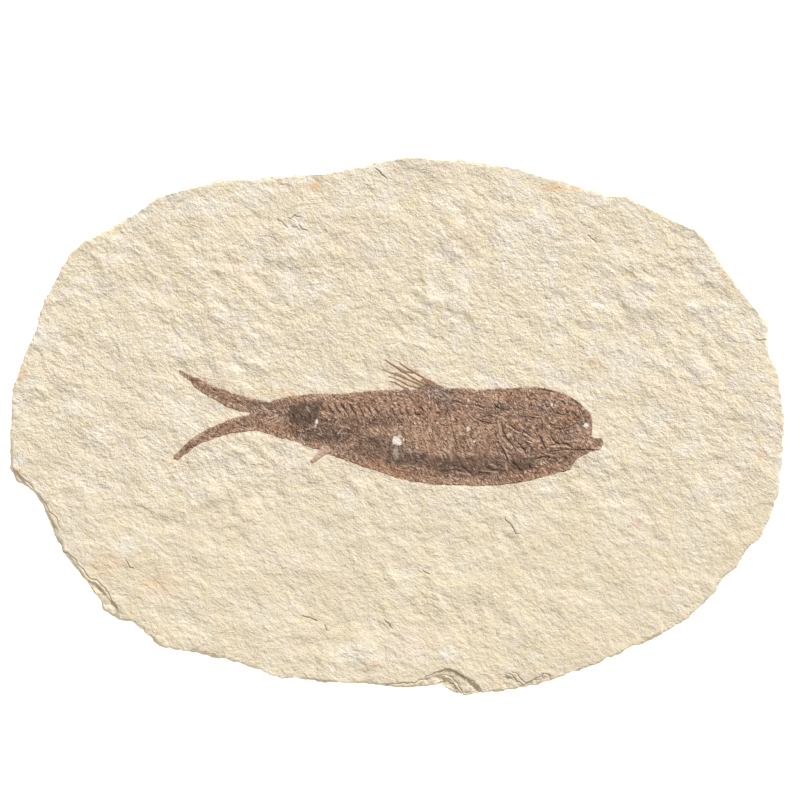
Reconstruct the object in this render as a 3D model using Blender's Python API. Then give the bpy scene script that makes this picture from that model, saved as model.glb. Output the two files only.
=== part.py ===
"""A small fossil herring in a thin slab of pale lake limestone, lying on its flat underside.

Metres, +Z up. The origin is the middle of the underside. The slab is longest along X, and the
fish lies in the upper face with its head towards +X and its back towards +Y. The fish and the
stone were one bedding plane; the thin film of bone is its own solid, in a pocket of its shape.
"""

import math

import bmesh
import bpy
from mathutils import Vector, noise

MM = 0.001

# Driving dimensions.
SLAB_THICKNESS = 9.0 * MM
LUMP_HEIGHT = 0.26 * MM        # how far the upper face swells above and below its mean
LUMP_SPACING = 11.0 * MM
SWELL_HEIGHT = 0.22 * MM
SWELL_SPACING = 34.0 * MM
STONE_CELL = 3.4 * MM          # facet size of the stone's upper face
FISH_CELL = 1.15 * MM          # facet size of the fish
EDGE_STEP = 4.0 * MM           # facet length round the broken edge
POCKET_DEPTH = 0.9 * MM        # below the mean upper face
GAP = 0.3 * MM                 # clear space between the fish and the stone

FILM_EDGE = 0.2 * MM           # how far the fish stands above the stone at its outline
FILM_CROWN = 0.4 * MM          # and how much more along the middle of its body
VERTEBRA_PITCH = 1.6 * MM
VERTEBRA_RADIUS = 0.5 * MM
WAIST_RADIUS = 0.3 * MM        # of the backbone between two vertebrae
BONE_SINK = 0.15 * MM          # how far a bone's middle lies below the fish's face
EYE_CENTRE = (33.6, 4.2)       # in millimetres, as the outlines below
EYE_RADIUS = 1.2 * MM
EYE_RIM_RADIUS = 0.3 * MM
ABOVE_ALL = 3.0 * MM           # how far cutters reach past what they cut
FACE_SIZE = (172 * MM, 122 * MM)         # a rectangle that holds the slab
FISH_SIZE = (96 * MM, 30 * MM)           # and one that holds the fish
FISH_CENTRE = (-1.5 * MM, 0.5 * MM)

# The slab's broken edge, in millimetres, clockwise from the middle of its upper side.
SLAB_OUTLINE = (
    (2, 56), (15, 55), (24.5, 54), (28.5, 52.5), (34.5, 51), (42.5, 48.5), (47.5, 48), (54.5, 44.5),
    (62.5, 40.5), (64.5, 38.5), (70, 30.5), (75, 24), (77, 20.5), (76.8, 17.3), (79.5, 9.5), (80.5, 1),
    (80.5, -3), (79.5, -13.5), (77.5, -19.5), (75.5, -23.5), (72.5, -26), (70.5, -29.5), (68, -31.5),
    (65.5, -35), (59.5, -41), (54.5, -43.5), (46.5, -47), (42, -49), (33, -52.5), (27.5, -54),
    (22.5, -55), (14, -56), (11.5, -55.5), (9, -54), (2.5, -54.5), (-11, -53.5), (-22, -52.5),
    (-26.5, -52), (-29, -50.5), (-38, -48), (-48.5, -46), (-51.5, -43.5), (-55.5, -40.5), (-58, -40),
    (-61, -38), (-62.5, -35.5), (-68, -28.5), (-72, -22), (-74, -16), (-76.5, -13), (-79, -11.5),
    (-80.5, -9), (-80.5, 6.5), (-80, 9), (-74, 24.5), (-70.5, 32), (-68, 36), (-65, 38.5), (-61, 40.5),
    (-53.5, 45), (-50, 47.5), (-45.5, 49), (-38, 51), (-24.5, 52), (-16, 52.5), (-10, 53.5), (-3.5, 55),
)

# The beds of the stone from the underside up, in millimetres: bottom, top, and the least and the
# most that the bed's edge is broken back. The top bed is trimmed by the lumpy upper face.
BEDS = (
    (0.0, 1.7, 0.7, 2.6),
    (1.5, 4.0, 0.1, 1.3),
    (3.8, 6.5, 0.5, 1.6),
    (6.3, 11.0, 0.0, 0.3),
)

# Ledges, in millimetres: how far down the upper face is broken away, and the line that the break
# follows. The last points of each line lie outside the slab and close the cut.
LEDGES = {
    "ledge_tail_corner": (0.4, (
        (-80.3, -8), (-75.3, -14.3), (-73.8, -15.8), (-70.3, -21.8), (-69, -25.5), (-66.3, -29.5),
        (-64.5, -31.8), (-62.5, -32.8), (-60.5, -35), (-57.8, -37.8), (-60, -48), (-88, -24), (-88, -7),
    )),
    "ledge_belly_wide": (0.35, (
        (4.8, -53), (7.5, -51.5), (10.3, -50.5), (12.3, -50.8), (16.8, -54), (18.2, -56.5),
        (18, -60), (3, -60),
    )),
    "ledge_belly_middle": (0.7, (
        (5.6, -54.2), (8.3, -52), (10.5, -52.5), (13.8, -55.8), (13.6, -60), (5, -60),
    )),
    "ledge_belly_low": (1.1, (
        (8.5, -53.5), (10.3, -54.3), (11.9, -56.5), (11.5, -60), (8, -60),
    )),
    "ledge_belly_right": (0.4, (
        (21.8, -51.4), (24, -52), (25.8, -53.8), (29, -52.3), (31.3, -51.5), (33.2, -53),
        (33, -60), (21, -60),
    )),
}

# The fish's body, in millimetres: along the fish, its back and its belly.
TRUNK = (
    (-30.5, 4.2, -0.6), (-26.5, 5.1, -1.7), (-24.5, 5.8, -2.3), (-21.5, 6.4, -3.4), (-16, 6.6, -5.3),
    (-9, 7.0, -8.0), (-1, 7.6, -10.7), (7, 7.8, -12.0), (15, 7.8, -12.5), (21, 7.8, -12.2),
    (28, 7.8, -11.2), (33, 7.1, -9.8), (36.5, 5.9, -8.6), (39, 3.8, -6.4), (40.3, 1.8, -4.0),
    (40.7, -0.2, -2.0),
)
LOWER_JAW = (
    (35, -2.2), (40.6, -2.5), (42.4, -2.4), (43, -3.2), (43, -3.9), (42.4, -4.9), (40.3, -5.4),
    (38.6, -6.5), (35, -8),
)
FIN_WEB = (
    (10.4, 6.8), (9.9, 7.9), (8, 8.8), (6, 9.9), (4.3, 10), (3.6, 9.2), (4, 8.2), (3, 6.8),
)
# Long pieces of the fish, in millimetres: points along the middle, with the half width at each.
STRIPS = {
    "tail_lobe_back": (
        (-25, 2.8, 1.8), (-30.8, 4.3, 1.6), (-34.6, 5.4, 1.4), (-36.6, 6.4, 1.4), (-39.4, 7.8, 1.2),
        (-41.3, 8.8, 0.8), (-43, 10, 0.4), (-45.1, 11.3, 0.3),
    ),
    "tail_lobe_belly": (
        (-25, 1.1, 1.9), (-30.8, 0.7, 1.6), (-33.5, 0.2, 1.4), (-36.5, -0.9, 1.2), (-39.5, -2.2, 1.0),
        (-42, -3.3, 0.9), (-44.3, -5.0, 0.8), (-46.3, -6.5, 0.7),
    ),
    "anal_fin": ((-14.5, -4.4, 1.0), (-16.5, -6.3, 0.6), (-18, -7.6, 0.4)),
    "fin_ray_first": (
        (9, 7.9, 0.3), (6, 9.7, 0.3), (3.7, 11, 0.3), (1.3, 12.6, 0.3), (0.4, 13.2, 0.25),
    ),
    "fin_ray_second": (
        (6, 8.8, 0.3), (2.8, 10.6, 0.3), (0.9, 11.3, 0.3), (-0.6, 12.3, 0.3), (-2.4, 13.6, 0.25),
    ),
    "fin_ray_third": (
        (5, 8.6, 0.3), (1.9, 9.7, 0.3), (-0.6, 10.6, 0.3), (-3.4, 11.6, 0.25),
    ),
    "fin_ray_fourth": (
        (5, 6.6, 0.3), (1.3, 8.9, 0.3), (-1.4, 9.4, 0.25),
    ),
}
BACKBONE = ((-26, 2.1), (-10, 2.7), (14, 3.4))   # from the tail's root to the shoulder
# Raised bones of the head, in millimetres: the half width, and points along the bone.
HEAD_BONES = {
    "gill_cover_rim": (0.4, (
        (20.8, 5), (21.3, 1), (22, -1.3), (22.5, -3.6), (22.6, -5.6), (23.4, -7.8), (24.8, -9.4),
    )),
    "cheek_rim": (0.35, ((26.8, 2.2), (29.3, 1.4), (30, -1.2), (30.3, -3.4), (31.2, -5.2))),
    "upper_jaw": (0.3, ((31.5, -3.7), (34, -3.6), (37, -3.8), (41.6, -3.2))),
    "lower_jaw_rim": (0.3, ((32, -5.3), (36.8, -4.9), (41.6, -4.6))),
}

LIMESTONE_COLOUR = (0.80, 0.70, 0.54, 1.0)
FOSSIL_COLOUR = (0.37, 0.22, 0.15, 1.0)


def clear_scene():
    for obj in list(bpy.data.objects):
        bpy.data.objects.remove(obj)


def new_collection(name):
    collection = bpy.data.collections.new(name)
    bpy.context.scene.collection.children.link(collection)
    return collection


def in_metres(points):
    return [tuple(value * MM for value in point) for point in points]


def principled(name, colour, roughness):
    material = bpy.data.materials.new(name)
    material.use_nodes = True
    shader = material.node_tree.nodes["Principled BSDF"]
    shader.inputs["Base Color"].default_value = colour
    shader.inputs["Roughness"].default_value = roughness
    shader.inputs["Metallic"].default_value = 0.0
    return material


def plate(name, outline, bottom, top, collection):
    """A flat outline filled and extruded between two heights, as a closed mesh object."""
    curve = bpy.data.curves.new(name, "CURVE")
    curve.dimensions = "2D"
    curve.fill_mode = "BOTH"
    curve.extrude = (top - bottom) / 2
    spline = curve.splines.new("POLY")
    spline.points.add(len(outline) - 1)
    for spot, (x, y) in zip(spline.points, outline):
        spot.co = (x, y, 0, 1)
    spline.use_cyclic_u = True
    return solid_of_curve(name, curve, (bottom + top) / 2, collection)


def solid_of_curve(name, curve, height, collection):
    """The closed mesh object that a curve makes, with the curve itself removed."""
    guide = bpy.data.objects.new(name + "_guide", curve)
    guide.location.z = height
    collection.objects.link(guide)
    bpy.context.view_layer.update()
    graph = bpy.context.evaluated_depsgraph_get()
    mesh = bpy.data.meshes.new_from_object(guide.evaluated_get(graph))
    mesh.name = name
    weld(mesh)
    solid = bpy.data.objects.new(name, mesh)
    solid.matrix_world = guide.matrix_world
    bpy.data.objects.remove(guide)
    collection.objects.link(solid)
    return solid


def weld(mesh):
    """Joins a mesh's loose caps to its sides and turns every face outwards."""
    shape = bmesh.new()
    shape.from_mesh(mesh)
    bmesh.ops.remove_doubles(shape, verts=shape.verts, dist=0.001 * MM)
    bmesh.ops.recalc_face_normals(shape, faces=shape.faces)
    shape.to_mesh(mesh)
    shape.free()


def weathered(outline, least, most, seed):
    """The outline with points added along its long sides, each drawn in towards the middle."""
    points = []
    for (x0, y0), (x1, y1) in zip(outline, outline[1:] + outline[:1]):
        pieces = max(1, round(math.dist((x0, y0), (x1, y1)) / EDGE_STEP))
        for piece in range(pieces):
            along = piece / pieces
            x = x0 + (x1 - x0) * along
            y = y0 + (y1 - y0) * along
            rough = 0.5 + noise.noise(Vector((x, y, seed * SWELL_SPACING)) / (0.45 * LUMP_SPACING))
            is_corner_of_top = piece == 0 and least == 0
            inset = 0 if is_corner_of_top else least + (most - least) * min(max(rough, 0), 1)
            shrink = 1 - inset / math.hypot(x, y)
            points.append((x * shrink, y * shrink))
    return points


def grown(outline, by):
    """A closed outline moved outwards by a distance, its corners mitred."""
    area = sum(x0 * y1 - x1 * y0 for (x0, y0), (x1, y1) in zip(outline, outline[1:] + outline[:1]))
    out = 1 if area > 0 else -1
    moved = []
    for before, here, after in zip(outline[-1:] + outline[:-1], outline, outline[1:] + outline[:1]):
        arriving = (Vector(here) - Vector(before)).normalized()
        leaving = (Vector(after) - Vector(here)).normalized()
        normal = (arriving + leaving).normalized()
        mitre = by / max(0.5, normal.dot(arriving))
        moved.append((here[0] + out * mitre * normal.y, here[1] - out * mitre * normal.x))
    return moved


def strip_outline(stations):
    """The outline of a long piece given by points along its middle and its half width at each."""
    left, right = [], []
    for index, (x, y, half) in enumerate(stations):
        before = stations[max(index - 1, 0)]
        after = stations[min(index + 1, len(stations) - 1)]
        way = Vector((after[0] - before[0], after[1] - before[1])).normalized()
        left.append((x - way.y * half, y + way.x * half))
        right.append((x + way.y * half, y - way.x * half))
    return left + right[::-1]


def trunk_outline():
    backs = [(x, back) for x, back, belly in in_metres(TRUNK)]
    bellies = [(x, belly) for x, back, belly in in_metres(TRUNK)]
    return backs + bellies[::-1]


def between(x, stations):
    """The values at x between stations whose first number is their place along X."""
    for low, high in zip(stations, stations[1:]):
        if x <= high[0]:
            break
    share = min(max((x - low[0]) / (high[0] - low[0]), 0), 1)
    return [a + (b - a) * share for a, b in zip(low[1:], high[1:])]


def stone_height(x, y):
    """The height of the slab's lumpy upper face."""
    here = Vector((x, y, 0))
    lumps = LUMP_HEIGHT * noise.noise(here / LUMP_SPACING)
    return SLAB_THICKNESS + lumps + SWELL_HEIGHT * noise.noise(here / SWELL_SPACING)


def fish_height(x, y):
    """The height of the fish's face, a film that is thickest along the middle of the body."""
    back, belly = between(x, in_metres(TRUNK))
    across = min(max((y - belly) / (back - belly), 0), 1)
    return stone_height(x, y) + FILM_EDGE + FILM_CROWN * math.sin(math.pi * across)


def relief_block(name, centre, size, cell, height_at, bottom, collection):
    """A block whose upper face is a grid at the heights of height_at."""
    shape = bmesh.new()
    steps_x = round(size[0] / cell)
    steps_y = round(size[1] / cell)
    bmesh.ops.create_grid(shape, x_segments=steps_x, y_segments=steps_y, size=0.5)
    bmesh.ops.scale(shape, verts=shape.verts, vec=(size[0], size[1], 1))
    bmesh.ops.translate(shape, verts=shape.verts, vec=(centre[0], centre[1], 0))
    for corner in shape.verts:
        corner.co.z = height_at(corner.co.x, corner.co.y)
    rim = [edge for edge in shape.edges if edge.is_boundary]
    lowered = bmesh.ops.extrude_edge_only(shape, edges=rim)["geom"]
    for corner in lowered:
        if isinstance(corner, bmesh.types.BMVert):
            corner.co.z = bottom
    floor_edges = [edge for edge in lowered if isinstance(edge, bmesh.types.BMEdge)]
    bmesh.ops.contextual_create(shape, geom=floor_edges)
    bmesh.ops.recalc_face_normals(shape, faces=shape.faces)
    mesh = bpy.data.meshes.new(name)
    shape.to_mesh(mesh)
    shape.free()
    block = bpy.data.objects.new(name, mesh)
    collection.objects.link(block)
    return block


def bone(name, points, radii, collection):
    """A bone that lies along the fish's face, half sunk in it, as a closed mesh object."""
    curve = bpy.data.curves.new(name, "CURVE")
    curve.dimensions = "3D"
    curve.bevel_depth = 1
    curve.bevel_resolution = 1
    curve.use_fill_caps = True
    spline = curve.splines.new("POLY")
    spline.points.add(len(points) - 1)
    for spot, (x, y), radius in zip(spline.points, points, radii):
        spot.co = (x, y, fish_height(x, y) - BONE_SINK, 1)
        spot.radius = radius
    return solid_of_curve(name, curve, 0, collection)


def eye_rim(collection):
    x, y = in_metres([EYE_CENTRE])[0]
    bpy.ops.mesh.primitive_torus_add(
        major_segments=14, minor_segments=6, major_radius=EYE_RADIUS, minor_radius=EYE_RIM_RADIUS,
        location=(x, y, fish_height(x, y) - BONE_SINK),
    )
    rim = bpy.context.object
    rim.name = "eye_rim"
    for home in rim.users_collection:
        home.objects.unlink(rim)
    collection.objects.link(rim)
    return rim


def backbone(collection):
    """The row of vertebrae, thick at each one and narrow between."""
    start = BACKBONE[0][0] * MM
    count = 2 * round((BACKBONE[-1][0] * MM - start) / VERTEBRA_PITCH)
    places = [start + index * VERTEBRA_PITCH / 2 for index in range(count)]
    points = [(x, between(x, in_metres(BACKBONE))[0]) for x in places]
    radii = [VERTEBRA_RADIUS if index % 2 else WAIST_RADIUS for index in range(count)]
    return bone("backbone", points, radii, collection)


def combine(target, operation, helper):
    cut = target.modifiers.new(f"{operation.lower()}_{helper.name}", "BOOLEAN")
    cut.operation = operation
    cut.solver = "EXACT"
    cut.object = helper


def hide_helpers(helpers):
    for helper in helpers.objects:
        helper.hide_render = True
        helper.display_type = "WIRE"


def fish_plan(name, grow, bottom, top, collection, helpers):
    """The fish's whole outline as an upright-sided solid, each outline grown by a distance."""
    plan = plate(name, grown(trunk_outline(), grow), bottom, top, collection)
    outlines = {"lower_jaw": in_metres(LOWER_JAW), "fin_web": in_metres(FIN_WEB)}
    outlines.update((part, strip_outline(in_metres(spots))) for part, spots in STRIPS.items())
    for part, outline in outlines.items():
        combine(plan, "UNION", plate(f"{name}_{part}", grown(outline, grow), bottom, top, helpers))
    return plan


def make_slab(collection, helpers, material):
    edge = in_metres(SLAB_OUTLINE)
    solids = []
    for number, (bottom, top, least, most) in enumerate(BEDS):
        outline = weathered(edge, least * MM, most * MM, number)
        name = "stone_slab" if number == 0 else f"bed_{number}"
        home = collection if number == 0 else helpers
        solids.append(plate(name, outline, bottom * MM, top * MM, home))
    slab = solids[0]
    for bed in solids[1:]:
        combine(slab, "UNION", bed)
    upper = SLAB_THICKNESS + ABOVE_ALL
    for name, (depth, line) in LEDGES.items():
        step = SLAB_THICKNESS - depth * MM
        combine(slab, "DIFFERENCE", plate(name, in_metres(line), step, upper, helpers))
    relief = relief_block(
        "upper_face", (0, 0), FACE_SIZE, STONE_CELL, stone_height, -ABOVE_ALL, helpers
    )
    combine(slab, "INTERSECT", relief)
    floor = SLAB_THICKNESS - POCKET_DEPTH
    combine(slab, "DIFFERENCE", fish_plan("fish_pocket", GAP, floor, upper, helpers, helpers))
    slab.data.materials.append(material)
    return slab


def make_fish(collection, helpers, material):
    bottom = SLAB_THICKNESS - POCKET_DEPTH + GAP
    fish = fish_plan("fossil_fish", 0, bottom, SLAB_THICKNESS + ABOVE_ALL, collection, helpers)
    relief = relief_block(
        "fish_face", FISH_CENTRE, FISH_SIZE, FISH_CELL, fish_height, bottom - ABOVE_ALL, helpers
    )
    combine(fish, "INTERSECT", relief)
    combine(fish, "UNION", backbone(helpers))
    for name, (half_width, line) in HEAD_BONES.items():
        points = in_metres(line)
        combine(fish, "UNION", bone(name, points, [half_width * MM] * len(points), helpers))
    combine(fish, "UNION", eye_rim(helpers))
    fish.data.materials.append(material)
    return fish


def main():
    clear_scene()
    parts = new_collection("fossil_fish_slab")
    helpers = new_collection("helpers")
    make_slab(parts, helpers, principled("limestone", LIMESTONE_COLOUR, 0.9))
    make_fish(parts, helpers, principled("fossil", FOSSIL_COLOUR, 0.75))
    hide_helpers(helpers)


main()
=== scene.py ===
# %% [markdown]
# # A small fossil fish in a slab of lake limestone
#
# The object is one thin, broken slab of pale limestone. In its upper face lies a herring-like fish,
# pressed flat and turned to a brown film of bone and scale. Both are natural, so there are only two
# pieces: the stone, and the fish that lies in it.
#
# Everything below follows the same plan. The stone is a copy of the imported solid, made fine enough
# to carry its lumps, knobs and cracks. The fish is a fine sheet whose heights are worked out from
# named bones. Their finishes are node materials that add the grain too small to model.

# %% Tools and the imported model
import math

import bmesh
import bpy
import numpy as np
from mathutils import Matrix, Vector, noise


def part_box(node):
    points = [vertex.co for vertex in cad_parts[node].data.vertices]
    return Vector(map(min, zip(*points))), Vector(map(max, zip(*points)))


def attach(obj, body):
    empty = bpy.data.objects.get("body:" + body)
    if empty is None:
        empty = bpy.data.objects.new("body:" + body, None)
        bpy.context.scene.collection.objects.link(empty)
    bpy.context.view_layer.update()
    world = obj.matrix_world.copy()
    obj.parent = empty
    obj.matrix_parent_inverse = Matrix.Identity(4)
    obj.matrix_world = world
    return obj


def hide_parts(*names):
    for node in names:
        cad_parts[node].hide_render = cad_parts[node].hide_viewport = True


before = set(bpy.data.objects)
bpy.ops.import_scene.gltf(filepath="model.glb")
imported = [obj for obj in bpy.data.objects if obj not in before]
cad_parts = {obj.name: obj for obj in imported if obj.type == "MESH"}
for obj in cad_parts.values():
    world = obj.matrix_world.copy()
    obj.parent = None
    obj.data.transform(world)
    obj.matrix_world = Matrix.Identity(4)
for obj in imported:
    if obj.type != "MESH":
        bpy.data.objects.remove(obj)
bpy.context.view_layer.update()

MM = 0.001

# %% [markdown]
# ## Camera
#
# The slab lies on its back and is looked at from straight above, with a long lens so that its edge
# doesn't lean outwards. The picture is square, and its width at the stone's face is a real length.
# From that length and the lens comes the camera's height: a lens of 100 mm in front of a 36 mm
# sensor sees 36 mm of width at 100 mm away, and so in proportion further off.

# %% Camera
FACE_HEIGHT = 9.0 * MM
PICTURE_WIDTH = 166.6 * MM
PICTURE_CENTRE = (0.5 * MM, 5.4 * MM)
LENS = 100.0
SENSOR = 36.0

camera_data = bpy.data.cameras.new("camera")
camera_data.lens = LENS
camera_data.sensor_width = SENSOR
camera_data.clip_start = 10 * MM
camera = bpy.data.objects.new("camera", camera_data)
camera.location = (*PICTURE_CENTRE, FACE_HEIGHT + PICTURE_WIDTH * LENS / SENSOR)
bpy.context.scene.collection.objects.link(camera)
bpy.context.scene.camera = camera
bpy.context.scene.view_settings.view_transform = "Standard"
print("camera height, mm:", round(camera.location.z / MM))

# %% [markdown]
# ## Light
#
# Rock this pale shows its surface only when light rakes across it. One broad lamp stands low at
# the upper right, and a plain white surround fills the shadows. A sun lamp with a wide angle is a
# simple stand-in for a softbox: every point of the slab gets the same soft-edged light. The
# surround lights the slab in a faintly warm tone, but is pure white where the camera sees it.

# %% Lamp and surround
LAMP_HEIGHT_ANGLE = math.radians(33)
LAMP_TURN = math.radians(63)       # from +X towards +Y
LAMP_SOFTNESS = math.radians(14)
LAMP_STRENGTH = 4.2
LAMP_COLOUR = (1.0, 1.0, 0.99)
SURROUND_STRENGTH = 0.57
SURROUND_COLOUR = (1.0, 0.95, 0.87, 1.0)     # what lights the slab
BACKDROP_STRENGTH = 1.0
BACKDROP_COLOUR = (1.0, 1.0, 1.0, 1.0)       # what the camera sees behind it
MIX_BELOW = 6      # the colour sockets of a Mix node, which shares its socket names between types
MIX_ABOVE = 7
MIX_RESULT = 2

lamp_data = bpy.data.lights.new("raking_lamp", "SUN")
lamp_data.energy = LAMP_STRENGTH
lamp_data.angle = LAMP_SOFTNESS
lamp_data.color = LAMP_COLOUR
lamp = bpy.data.objects.new("raking_lamp", lamp_data)
towards_lamp = Vector((
    math.cos(LAMP_TURN) * math.cos(LAMP_HEIGHT_ANGLE),
    math.sin(LAMP_TURN) * math.cos(LAMP_HEIGHT_ANGLE),
    math.sin(LAMP_HEIGHT_ANGLE),
))
lamp.rotation_euler = towards_lamp.to_track_quat("Z", "Y").to_euler()
bpy.context.scene.collection.objects.link(lamp)

world = bpy.data.worlds.new("white_surround")
world.use_nodes = True
backdrop = world.node_tree.nodes["Background"]
seen_directly = world.node_tree.nodes.new("ShaderNodeLightPath")
strength = world.node_tree.nodes.new("ShaderNodeMapRange")
strength.inputs["To Min"].default_value = SURROUND_STRENGTH
strength.inputs["To Max"].default_value = BACKDROP_STRENGTH
tint = world.node_tree.nodes.new("ShaderNodeMix")
tint.data_type = "RGBA"
tint.inputs[MIX_BELOW].default_value = SURROUND_COLOUR
tint.inputs[MIX_ABOVE].default_value = BACKDROP_COLOUR
world.node_tree.links.new(seen_directly.outputs["Is Camera Ray"], strength.inputs["Value"])
world.node_tree.links.new(seen_directly.outputs["Is Camera Ray"], tint.inputs["Factor"])
world.node_tree.links.new(tint.outputs[MIX_RESULT], backdrop.inputs["Color"])
world.node_tree.links.new(strength.outputs["Result"], backdrop.inputs["Strength"])
bpy.context.scene.world = world
lamp_angles = [round(math.degrees(angle)) for angle in (LAMP_HEIGHT_ANGLE, LAMP_TURN)]
print("lamp's height and turn, degrees:", lamp_angles)

# %% [markdown]
# ## Floor
#
# A plain white sheet that glows a little, as a light table does, so that the slab's own shadow on
# it stays faint. It isn't part of the object, so it isn't attached to the object's body.

# %% Floor
FLOOR_SIZE = 4.0
FLOOR_DROP = 0.02 * MM     # just below the slab, so that their faces don't fight
FLOOR_WHITE = (0.95, 0.95, 0.95, 1.0)
GLOW_WHITE = (1.0, 1.0, 1.0, 1.0)
FLOOR_GLOW = 0.70

floor_shape = bmesh.new()
bmesh.ops.create_grid(floor_shape, x_segments=1, y_segments=1, size=FLOOR_SIZE / 2)
bmesh.ops.translate(floor_shape, verts=floor_shape.verts, vec=(0, 0, -FLOOR_DROP))
floor_mesh = bpy.data.meshes.new("floor")
floor_shape.to_mesh(floor_mesh)
floor_shape.free()
floor = bpy.data.objects.new("floor", floor_mesh)
bpy.context.scene.collection.objects.link(floor)
floor_material = bpy.data.materials.new("light_table")
floor_material.use_nodes = True
floor_shader = floor_material.node_tree.nodes["Principled BSDF"]
floor_shader.inputs["Base Color"].default_value = FLOOR_WHITE
floor_shader.inputs["Roughness"].default_value = 1.0
floor_shader.inputs["Emission Color"].default_value = GLOW_WHITE
floor_shader.inputs["Emission Strength"].default_value = FLOOR_GLOW
floor.data.materials.append(floor_material)
print("floor, m:", FLOOR_SIZE)

# %% [markdown]
# ## Measuring on the slab's face
#
# Cracks, bones and stains are all placed the same way: by points on the face, in millimetres, with
# the origin in the slab's middle, +X towards the fish's snout and +Y towards its back. A few small
# tools turn such points into numbers for every vertex at once: how far a spot is from a line, how
# far it is inside an outline, and how strongly a soft stroke, patch or area covers it.

# %% Distance to a line and to an outline
def nearest_on_line(spots, line):
    """For each spot, the distance to a line of points, and how far along it the nearest place is."""
    least = np.full(len(spots), np.inf)
    along = np.zeros(len(spots))
    lengths = [math.dist(a, b) for a, b in zip(line, line[1:])]
    passed = 0.0
    for (start, end), length in zip(zip(line, line[1:]), lengths):
        way = (np.array(end) - start) / length
        reach = np.clip((spots - start) @ way, 0, length)
        gap = np.linalg.norm(spots - start - reach[:, None] * way, axis=1)
        nearer = gap < least
        least[nearer] = gap[nearer]
        along[nearer] = (passed + reach[nearer]) / sum(lengths)
        passed += length
    return least, along


def inside(spots, outline):
    """Whether each spot lies inside a closed outline."""
    x, y = spots.T
    odd = np.zeros(len(spots), bool)
    for (x0, y0), (x1, y1) in zip(outline, outline[1:] + outline[:1]):
        if y0 != y1:
            crossing = x0 + (y - y0) / (y1 - y0) * (x1 - x0)
            odd ^= ((y0 > y) != (y1 > y)) & (x < crossing)
    return odd


def depth_inside(spots, outline):
    """How far each spot is inside a closed outline; outside it, the distance is negative."""
    gap, _ = nearest_on_line(spots, outline + outline[:1])
    return np.where(inside(spots, outline), gap, -gap)


small_square = [(-1, -1), (1, -1), (1, 1), (-1, 1)]
print("depth at the middle of a 2 mm square:", float(depth_inside(np.zeros((1, 2)), small_square)[0]))


# %% Noise and soft steps
LAYER_STEP = 7.3       # layers of noise this far apart have nothing in common


def ripple(spots, spacing, layer=0):
    """Smooth noise of about -1 to 1 at each spot, its swellings a spacing apart."""
    if spots.shape[1] == 2:
        spots = np.column_stack((spots, np.zeros(len(spots))))
    scaled = spots / spacing + (0, 0, LAYER_STEP * layer)
    return np.array([noise.noise(Vector(spot)) for spot in scaled.tolist()])


def turned(spots, angle, stretch):
    """Spots turned so that X runs along an angle, and shortened that way to draw noise out."""
    along = spots.copy()
    along[:, 0] = (spots[:, 0] * math.cos(angle) + spots[:, 1] * math.sin(angle)) / stretch
    along[:, 1] = spots[:, 1] * math.cos(angle) - spots[:, 0] * math.sin(angle)
    return along


def soft_step(value, low, high):
    """0 below low, 1 above high, and a smooth rise between them."""
    share = np.clip((value - low) / (high - low), 0, 1)
    return share * share * (3 - 2 * share)


print("a quarter of the way along a soft step it has risen to", float(soft_step(0.25, 0, 1)))


# %% Strokes, patches and areas
STROKE_END = 0.12          # the share of a stroke's length over which it fades
STROKE_END_STRENGTH = 0.35
WOBBLE_SPACING = 0.9       # mm, how closely a line wavers
FADE_SPACING = 1.1         # mm, how closely it comes and goes
PATCH_TURN = 0.6           # so that the wandering edges don't line up with the axes
AREA_WANDER = (1.7, 0.7)   # spacings of the noise that makes an area's edge ragged
FINER_SHARE = 0.6          # how strong the finer of two noises is beside the coarser


def stroke(spots, line, half_width):
    """1 along a drawn line, fading to 0 at a little over its half width and towards both ends."""
    gap, along = nearest_on_line(spots, line)
    ends = soft_step(along, 0, STROKE_END) * soft_step(1 - along, 0, STROKE_END)
    strength = STROKE_END_STRENGTH + (1 - STROKE_END_STRENGTH) * ends
    return np.exp(-((gap / half_width) ** 2)) * strength


def strokes(spots, lines, half_width, wobble=0.0, uneven=0.0):
    """The strongest of several strokes at each spot.

    Wobble makes their lines waver by so many millimetres, and uneven fades them here and there.
    """
    total = np.zeros(len(spots))
    shifted = spots
    if wobble:
        sideways = np.column_stack([ripple(spots, WOBBLE_SPACING, layer) for layer in (11, 12)])
        shifted = spots + wobble * sideways
    for line in lines:
        reach = 3 * half_width
        low, high = np.min(line, axis=0) - reach, np.max(line, axis=0) + reach
        near = np.all((shifted > low) & (shifted < high), axis=1)
        total[near] = np.maximum(total[near], stroke(shifted[near], line, half_width))
    if uneven:
        total *= 1 - uneven * soft_step(ripple(spots, FADE_SPACING, 13), -0.25, 0.35)
    return total


def patches(spots, places, ragged, layer, spacing=1.9, soft=0.8):
    """How strongly soft patches (x, y, half width, half height, strength) cover each spot."""
    askew = turned(spots, PATCH_TURN, 1.0)
    wander = ripple(askew, spacing, layer) + FINER_SHARE * ripple(askew, 0.4 * spacing, layer + 1)
    total = np.zeros(len(spots))
    for x, y, half_width, half_height, strength in places:
        off = np.hypot((spots[:, 0] - x) / half_width, (spots[:, 1] - y) / half_height)
        off *= 1 + ragged * wander
        total = np.maximum(total, strength * soft_step(1 + soft / 2 - off, 0, soft))
    return total


def zones(spots, places, soft, ragged, layer):
    """How strongly ragged areas (strength, outline) cover each spot."""
    coarse, fine = AREA_WANDER
    wander = ripple(spots, coarse, layer) + FINER_SHARE * ripple(spots, fine, layer + 1)
    total = np.zeros(len(spots))
    for strength, outline in places:
        reach = depth_inside(spots, outline) + ragged * wander
        total = np.maximum(total, strength * soft_step(reach, -soft, soft))
    return total


middle_of_stroke = stroke(np.zeros((1, 2)), ((-1, 0), (1, 0)), 0.1)
print("strength in the middle of a stroke:", float(middle_of_stroke[0]))

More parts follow.
